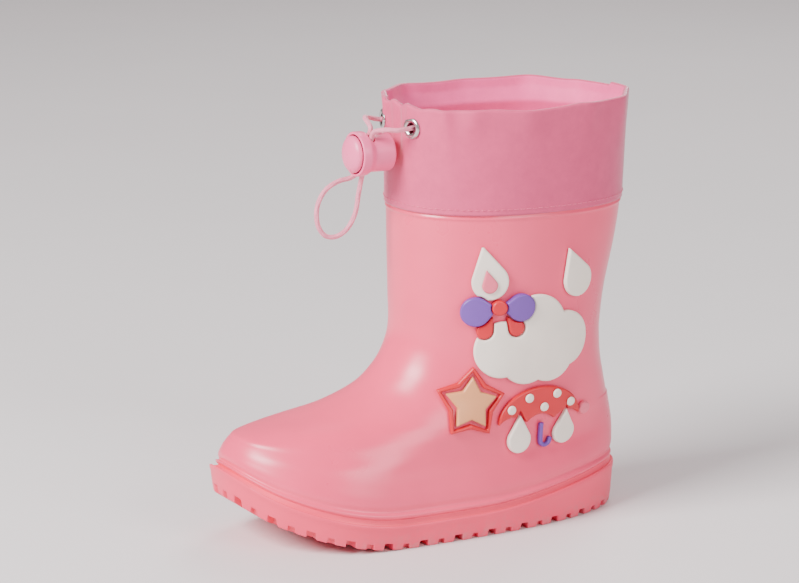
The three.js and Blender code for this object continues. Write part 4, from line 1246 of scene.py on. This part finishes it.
class RAINBOOT_OT_lock(Operator):
    """Moulds the cord lock's body and button and winds its spring"""

    bl_idname = "rainboot.lock"
    bl_label = "Cord lock"

    def execute(self, context):
        look = finish("lock plastic", plastic)
        hole_height, hole_width = CORD_DIAMETER + 1.1, 2 * CORD_GAP + CORD_DIAMETER + 1.2
        seat = LOCK_RIM - GAP - BUTTON_TRAVEL - 0.1
        bore = STEM_RADIUS + 0.4
        spring_top = HOLE_MIDDLE - hole_height / 2 - 1.6
        body = rounded([
            (0, -LOCK_BACK),
            (LOCK_BARREL_RADIUS, -LOCK_BACK),
            (LOCK_BARREL_RADIUS, -1.6),
            (LOCK_RADIUS, 0.8),
            (LOCK_RADIUS, LOCK_RIM),
            (BUTTON_RADIUS + 0.4, LOCK_RIM),
            (BUTTON_RADIUS + 0.4, seat),
            (bore, seat),
            (bore, -LOCK_BACK + LOCK_WALL),
            (0, -LOCK_BACK + LOCK_WALL),
        ], 0.9, 5)
        barrel = new_piece("cord_lock_barrel", *turned(body, 96), sharp=40)
        cut(barrel, slot_tool(hole_width, hole_height, HOLE_MIDDLE))
        under = LOCK_RIM - GAP
        dome = [(BUTTON_RADIUS * math.cos(a), under + 0.9 + BUTTON_DOME * math.sin(a) * 1.03)
                for a in np.linspace(0, math.pi / 2, 14)]
        stem = [(0, spring_top), (STEM_RADIUS - 0.4, spring_top), (STEM_RADIUS, spring_top + 0.4),
                (STEM_RADIUS, under), (BUTTON_RADIUS - 0.3, under), (BUTTON_RADIUS, under + 0.3)]
        button = new_piece("cord_lock_cap", *turned(stem + dome, 96), sharp=40)
        slot_height = hole_height + BUTTON_TRAVEL
        cut(button, slot_tool(hole_width, slot_height, HOLE_MIDDLE + BUTTON_TRAVEL / 2))
        low = -LOCK_BACK + LOCK_WALL + SPRING_WIRE / 2 + GAP
        high = spring_top - SPRING_WIRE / 2 - GAP
        turns = np.linspace(0, 1, 40 * SPRING_TURNS)
        radius = STEM_RADIUS - SPRING_WIRE - turns * SPRING_TURNS * (SPRING_WIRE + 0.3)
        wind = turns * SPRING_TURNS * 2 * math.pi
        coil = np.stack([radius * np.cos(wind), radius * np.sin(wind), mix(low, high, turns)], 1)
        points, faces, _ = braided_tube(coil, SPRING_WIRE, 1.0, 1, 0.0, sides=12, step=0.3)
        spring = new_piece("cord_lock_coil", points, faces)
        steel = finish("spring steel", lambda key: metal(key, (0.5, 0.5, 0.52, 1), 0.28))
        for piece, owner, slot, material, node in (
            (barrel, "cord_lock", "lock_plastic", look, "cord_lock_body"),
            (button, "lock_button", "lock_plastic", look, "cord_lock_button"),
            (spring, "cord_lock", "spring_steel", steel, "cord_lock_spring"),
        ):
            place(piece, lock_matrix())
            settle(piece, owner, slot, material, node)
        return {"FINISHED"}


# ---------------------------------------------------------------- raised patch


def shell_table():
    """Places on the upper's outer side by distance around it and height, with the way outward."""
    columns, rows = np.arange(-40, 50.1, 1.0), np.arange(26, 134.1, 1.0)
    spots = np.zeros((len(rows), len(columns), 3))
    ways = np.zeros_like(spots)
    angle = np.linspace(0, math.pi, 721)
    for i, v in enumerate(rows):
        x, y = outline(section_at(level_of(v)), angle)
        direction = np.arctan2(y, x - (HEEL + PATCH_INSET))
        along = walked(np.stack([x, y], 1))
        along -= np.interp(math.radians(PATCH_TURN), direction, along)
        px, py = np.interp(columns, along, x), np.interp(columns, along, y)
        tx, ty = np.gradient(px, columns), np.gradient(py, columns)
        long = np.hypot(tx, ty)
        spots[i] = lifted(px, py, np.full(len(columns), v))
        ways[i] = np.stack([ty / long, -tx / long, np.zeros(len(columns))], 1)
    return columns, rows, spots, ways


def onto_shell(flat, table):
    """Wraps flat points (around, up, out) onto the upper."""
    columns, rows, spots, ways = table
    u = np.clip((flat[:, 0] - columns[0]) / (columns[1] - columns[0]), 0, len(columns) - 1.001)
    v = np.clip((flat[:, 1] - rows[0]) / (rows[1] - rows[0]), 0, len(rows) - 1.001)
    i, j = v.astype(int), u.astype(int)
    fv, fu = (v - i)[:, None], (u - j)[:, None]

    def sample(grid):
        low = mix(grid[i, j], grid[i, j + 1], fu)
        high = mix(grid[i + 1, j], grid[i + 1, j + 1], fu)
        return mix(low, high, fv)

    return sample(spots) + sample(ways) * flat[:, 2:3]


def disc(x, y, radius):
    return lambda u, v: radius - np.hypot(u - x, v - y)


def drop(x, y, radius, tip, direction, grow=0.0):
    """A round end about a point and a tip at a distance in a direction; inside is positive."""
    r, d = radius + grow, (radius + grow) * tip / radius
    spread = math.acos(r / d)
    lean = math.asin(r / d)

    def inside(u, v):
        p = (u - x) * math.cos(direction) + (v - y) * math.sin(direction)
        q = np.abs(-(u - x) * math.sin(direction) + (v - y) * math.cos(direction))
        line = (d - p) * math.sin(lean) - q * math.cos(lean)
        return np.where(np.arctan2(q, p) < spread, line, r - np.hypot(p, q))

    return inside


def polygon(corners):
    corners = np.asarray(corners, float)

    def inside(u, v):
        spot = np.stack([u, v], -1)
        nearest = np.full(u.shape, 1e9)
        within = np.zeros(u.shape, bool)
        for a, b in zip(corners, np.roll(corners, -1, axis=0)):
            way = b - a
            along = np.clip(((spot - a) @ way) / max(way @ way, 1e-9), 0, 1)
            nearest = np.minimum(nearest, np.linalg.norm(spot - a - along[..., None] * way, axis=-1))
            crosses = (a[1] > v) != (b[1] > v)
            at = a[0] + (v - a[1]) / (b[1] - a[1] if b[1] != a[1] else 1e-9) * way[0]
            within ^= crosses & (u < at)
        return np.where(within, nearest, -nearest)

    return inside


def star(x, y, radius, grow=0.0):
    turn = [math.pi / 2 + i * math.pi / 5 - 0.1 for i in range(10)]
    reach = [(radius * 0.56 if i % 2 else radius) + grow for i in range(10)]
    return polygon([(x + r * math.cos(a), y + r * math.sin(a)) for r, a in zip(reach, turn)])


def arc(x, y, rx, ry, start, end, steps=28):
    return [(x + rx * math.cos(a), y + ry * math.sin(a)) for a in np.linspace(start, end, steps)]


def canopy(x, y, half, height):
    corners = arc(x, y, half, height, 0, math.pi, 48)
    for i in range(3):
        start, end = x - half + 2 * i * half / 3, x - half + 2 * (i + 1) * half / 3
        for t in np.linspace(0, 1, 14)[1:]:
            bow = 2 * t * (1 - t) * height * 0.4
            corners.append((mix(start, end, t), y + bow))
    return polygon(corners[:-1])


def hook():
    corners = [(10.4, 47.5)] + arc(14, 38.5, 3.6, 3.6, math.pi, 2 * math.pi)
    corners += arc(16.6, 38.5, 1, 1, 0, math.pi)[1:]
    corners += arc(14, 38.5, 1.6, 1.6, 2 * math.pi, math.pi)[1:] + [(12.4, 47.5)]
    return polygon(corners)


def without(shape, *tools):
    return lambda u, v: np.minimum.reduce([shape(u, v)] + [-tool(u, v) for tool in tools])


def together(*shapes):
    return lambda u, v: np.maximum.reduce([shape(u, v) for shape in shapes])


STAR_SPOT, STAR_RADIUS, STAR_BORDER = (-24.5, 60.5), 12.2, 4.2
BOW_SPOT, LOOP_REACH = (-12.5, 103.5), 10.3
KNOT_RADIUS, BALL_RADIUS, DOT_RADIUS = 3.4, 3.3, 2.1
FOOT_RADIUS, FOOT_TIP = 6, 12
GRID_CELL = 0.4


def bow_loop(direction, radius, grow=0.0):
    x, y = BOW_SPOT[0] + LOOP_REACH * math.cos(direction), BOW_SPOT[1] + LOOP_REACH * math.sin(direction)
    return drop(x, y, radius * 0.86, 9.6, direction + math.pi, grow)


def bow_tail(x, y, grow=0.0):
    return drop(x, y, 3.6, 7.4, math.atan2(BOW_SPOT[1] - y, BOW_SPOT[0] - x), grow)


def patch_shapes():
    """Each patch piece: node, shape, bottom, top, finish."""
    loops = [("left", 3.3, 7.6), ("right", -0.05, 7.2)]
    tails = [("left", -18.5, 93), ("right", -4, 93.6)]
    feet = [("front", -0.5, 41), ("rear", 24.5, 40.5)]
    drops = [("front", -16.5, 115, 8.2, 1.8), ("rear", 27.5, 112.5, 7.8, 1.95)]
    dots = [(-5.5, 56), (3.5, 60.5), (11.5, 55.5), (18, 61), (26, 56)]
    puffs = [(-10, 84, 13), (6, 93, 15), (21, 86, 13), (2, 80.5, 13.4), (13.5, 80, 12.8)]
    part = PATCH_PARTING
    knot = disc(*BOW_SPOT, KNOT_RADIUS + GAP)
    loop_tools = [bow_loop(d, r, part) for _, d, r in loops]
    bow_tools = loop_tools + [bow_tail(x, y, part) for _, x, y in tails] + [knot]
    feet_tools = [drop(x, y, FOOT_RADIUS, FOOT_TIP, math.pi / 2, part + 0.5) for _, x, y in feet]
    on_base = PATCH_BASE + GAP
    star_hole = star(*STAR_SPOT, STAR_RADIUS, 4 * part)
    border = without(star(*STAR_SPOT, STAR_RADIUS, STAR_BORDER), star_hole)
    cloud = without(together(*[disc(*puff) for puff in puffs]), *bow_tools)
    pieces = [
        ("patch_cloud", cloud, 0, PATCH_BASE, "cream"),
        ("patch_bow_knot", disc(*BOW_SPOT, KNOT_RADIUS), 0, PATCH_RAISED + 0.6, "red"),
        ("patch_canopy", without(canopy(10.5, 49, 22, 16), *feet_tools), 0, PATCH_BASE, "red"),
        ("patch_hook", hook(), 0, PATCH_BASE, "purple"),
        ("patch_star_border", border, 0, PATCH_BASE, "red"),
        ("patch_star", star(*STAR_SPOT, STAR_RADIUS), 0, PATCH_BASE + 0.4, "tan"),
        ("patch_ball", disc(36, 50.5, BALL_RADIUS), 0, PATCH_BASE, "pink"),
        ("patch_drop_glint", drop(-16.9, 113.6, 3.4, 7.4, 1.8), on_base, on_base + PATCH_DOT, "pink"),
    ]
    for name, x, y, radius, direction in drops:
        shape = without(drop(x, y, radius, radius * 2.05, direction), *bow_tools)
        pieces.append((f"patch_drop_{name}", shape, 0, PATCH_BASE, "cream"))
    for name, direction, radius in loops:
        shape = without(bow_loop(direction, radius), knot)
        pieces.append((f"patch_bow_loop_{name}", shape, 0, PATCH_RAISED, "purple"))
    for name, x, y in tails:
        shape = without(bow_tail(x, y), *loop_tools, knot)
        pieces.append((f"patch_bow_tail_{name}", shape, 0, PATCH_BASE, "red"))
    for name, x, y in feet:
        shape = drop(x, y, FOOT_RADIUS, FOOT_TIP, math.pi / 2)
        pieces.append((f"patch_small_drop_{name}", shape, 0, PATCH_BASE + 0.3, "cream"))
    for i, spot in enumerate(dots):
        dot = disc(*spot, DOT_RADIUS)
        pieces.append((f"patch_dot_{i + 1}", dot, on_base, on_base + PATCH_DOT, "cream"))
    return pieces


def moulded(shape, low, high, radius, cell):
    """A flat piece with a rounded top edge, from the part of a fine grid that lies inside a shape."""
    coarse = np.arange(-45, 130, 1.5)
    u, v = np.meshgrid(np.arange(-45, 55, 1.5), coarse)
    hit = shape(u, v) > -1.6
    u0, u1, v0, v1 = u[hit].min() - 1.5, u[hit].max() + 1.5, v[hit].min() - 1.5, v[hit].max() + 1.5
    us, vs = np.arange(u0, u1 + cell, cell), np.arange(v0, v1 + cell, cell)
    grid_u, grid_v = np.meshgrid(us, vs)
    field = shape(grid_u, grid_v)
    flat, key_of = [], {}

    def corner(i, j):
        return index_of((i, j), (us[j], vs[i]), field[i, j])

    def index_of(key, spot, depth):
        if key not in key_of:
            key_of[key] = len(flat)
            flat.append((*spot, max(depth, 0.0)))
        return key_of[key]

    def crossing(a, b):
        (i, j), (k, m) = sorted([a, b])
        fa, fb = field[i, j], field[k, m]
        t = min(max(fa / (fa - fb), 0.02), 0.98)
        return index_of(((i, j), (k, m)), (mix(us[j], us[m], t), mix(vs[i], vs[k], t)), 0.0)

    cells, edges = [], []
    inside = field > 0
    rows, columns = np.nonzero(inside[:-1, :-1] | inside[1:, :-1] | inside[:-1, 1:] | inside[1:, 1:])
    for i, j in zip(rows.tolist(), columns.tolist()):
        corners = [(i, j), (i, j + 1), (i + 1, j + 1), (i + 1, j)]
        face, cuts = [], []
        for a, b in zip(corners, corners[1:] + corners[:1]):
            if inside[a]:
                face.append(corner(*a))
            if inside[a] != inside[b]:
                cuts.append(crossing(a, b))
                face.append(cuts[-1])
        cells.append(face)
        for k, index in enumerate(face):
            after = face[(k + 1) % len(face)]
            if index in cuts and after in cuts:
                edges.append((index, after))
    flat = np.array(flat)
    r = min(radius, (high - low) * 0.8)
    near = 1 - np.clip(flat[:, 2] / r, 0, 1)
    top = np.column_stack([flat[:, :2], high - r + r * np.sqrt(np.maximum(1 - near ** 2, 0))])
    bottom = np.column_stack([flat[:, :2], np.full(len(flat), float(low))])
    n = len(flat)
    faces = cells + [[k + n for k in reversed(face)] for face in cells]
    faces += [[b, a, a + n, b + n] for a, b in edges]
    points = np.concatenate([top, bottom])
    points[:, 2] += PATCH_CLEARANCE
    return points, faces


class RAINBOOT_OT_patch(Operator):
    """Moulds the raised patch's pieces onto the upper's outer side"""

    bl_idname = "rainboot.patch"
    bl_label = "Raised patch"

    def execute(self, context):
        table = shell_table()
        radius = sizes().patch_round / MM
        for node, shape, low, high, colour in patch_shapes():
            points, faces = moulded(shape, low, high, radius, GRID_CELL)
            piece = new_piece(f"{node}_moulded", onto_shell(points, table), faces, sharp=60)
            tone = getattr(colours(), colour)

            def plate(key):
                return rubber(key, tone, 0.38, grain=1500.0, depth=0.00003, coat=0.15)

            look = finish(f"patch {colour}", plate)
            settle(piece, "boot", f"patch_{colour}", look, node)
        return {"FINISHED"}


# ---------------------------------------------------------------- panel and running order

STEPS = ["camera", "drawcord", "lock", "upper", "sole", "lining", "collar", "eyelets", "patch", "stage"]


class RAINBOOT_PT_panel(Panel):
    """Lists the boot's pieces"""

    bl_idname = "RAINBOOT_PT_panel"
    bl_label = "Rain boot"
    bl_space_type = "VIEW_3D"
    bl_region_type = "UI"
    bl_category = "Rain boot"

    def draw(self, context):
        for step in STEPS:
            self.layout.operator(f"rainboot.{step}")
        for group in (context.scene.rain_boot_sizes, context.scene.rain_boot_colours):
            for name in group.__annotations__:
                self.layout.prop(group, name)


CLASSES = [
    RainBootColours,
    RainBootSizes,
    RAINBOOT_OT_camera,
    RAINBOOT_OT_drawcord,
    RAINBOOT_OT_lock,
    RAINBOOT_OT_upper,
    RAINBOOT_OT_sole,
    RAINBOOT_OT_lining,
    RAINBOOT_OT_collar,
    RAINBOOT_OT_eyelets,
    RAINBOOT_OT_patch,
    RAINBOOT_OT_stage,
    RAINBOOT_PT_panel,
]


def register():
    for item in CLASSES:
        bpy.utils.register_class(item)
    bpy.types.Scene.rain_boot_colours = PointerProperty(type=RainBootColours)
    bpy.types.Scene.rain_boot_sizes = PointerProperty(type=RainBootSizes)


def unregister():
    del bpy.types.Scene.rain_boot_sizes
    del bpy.types.Scene.rain_boot_colours
    for item in reversed(CLASSES):
        bpy.utils.unregister_class(item)


def main():
    register()
    for step in STEPS:
        getattr(bpy.ops.rainboot, step)()


if __name__ == "__main__":
    main()
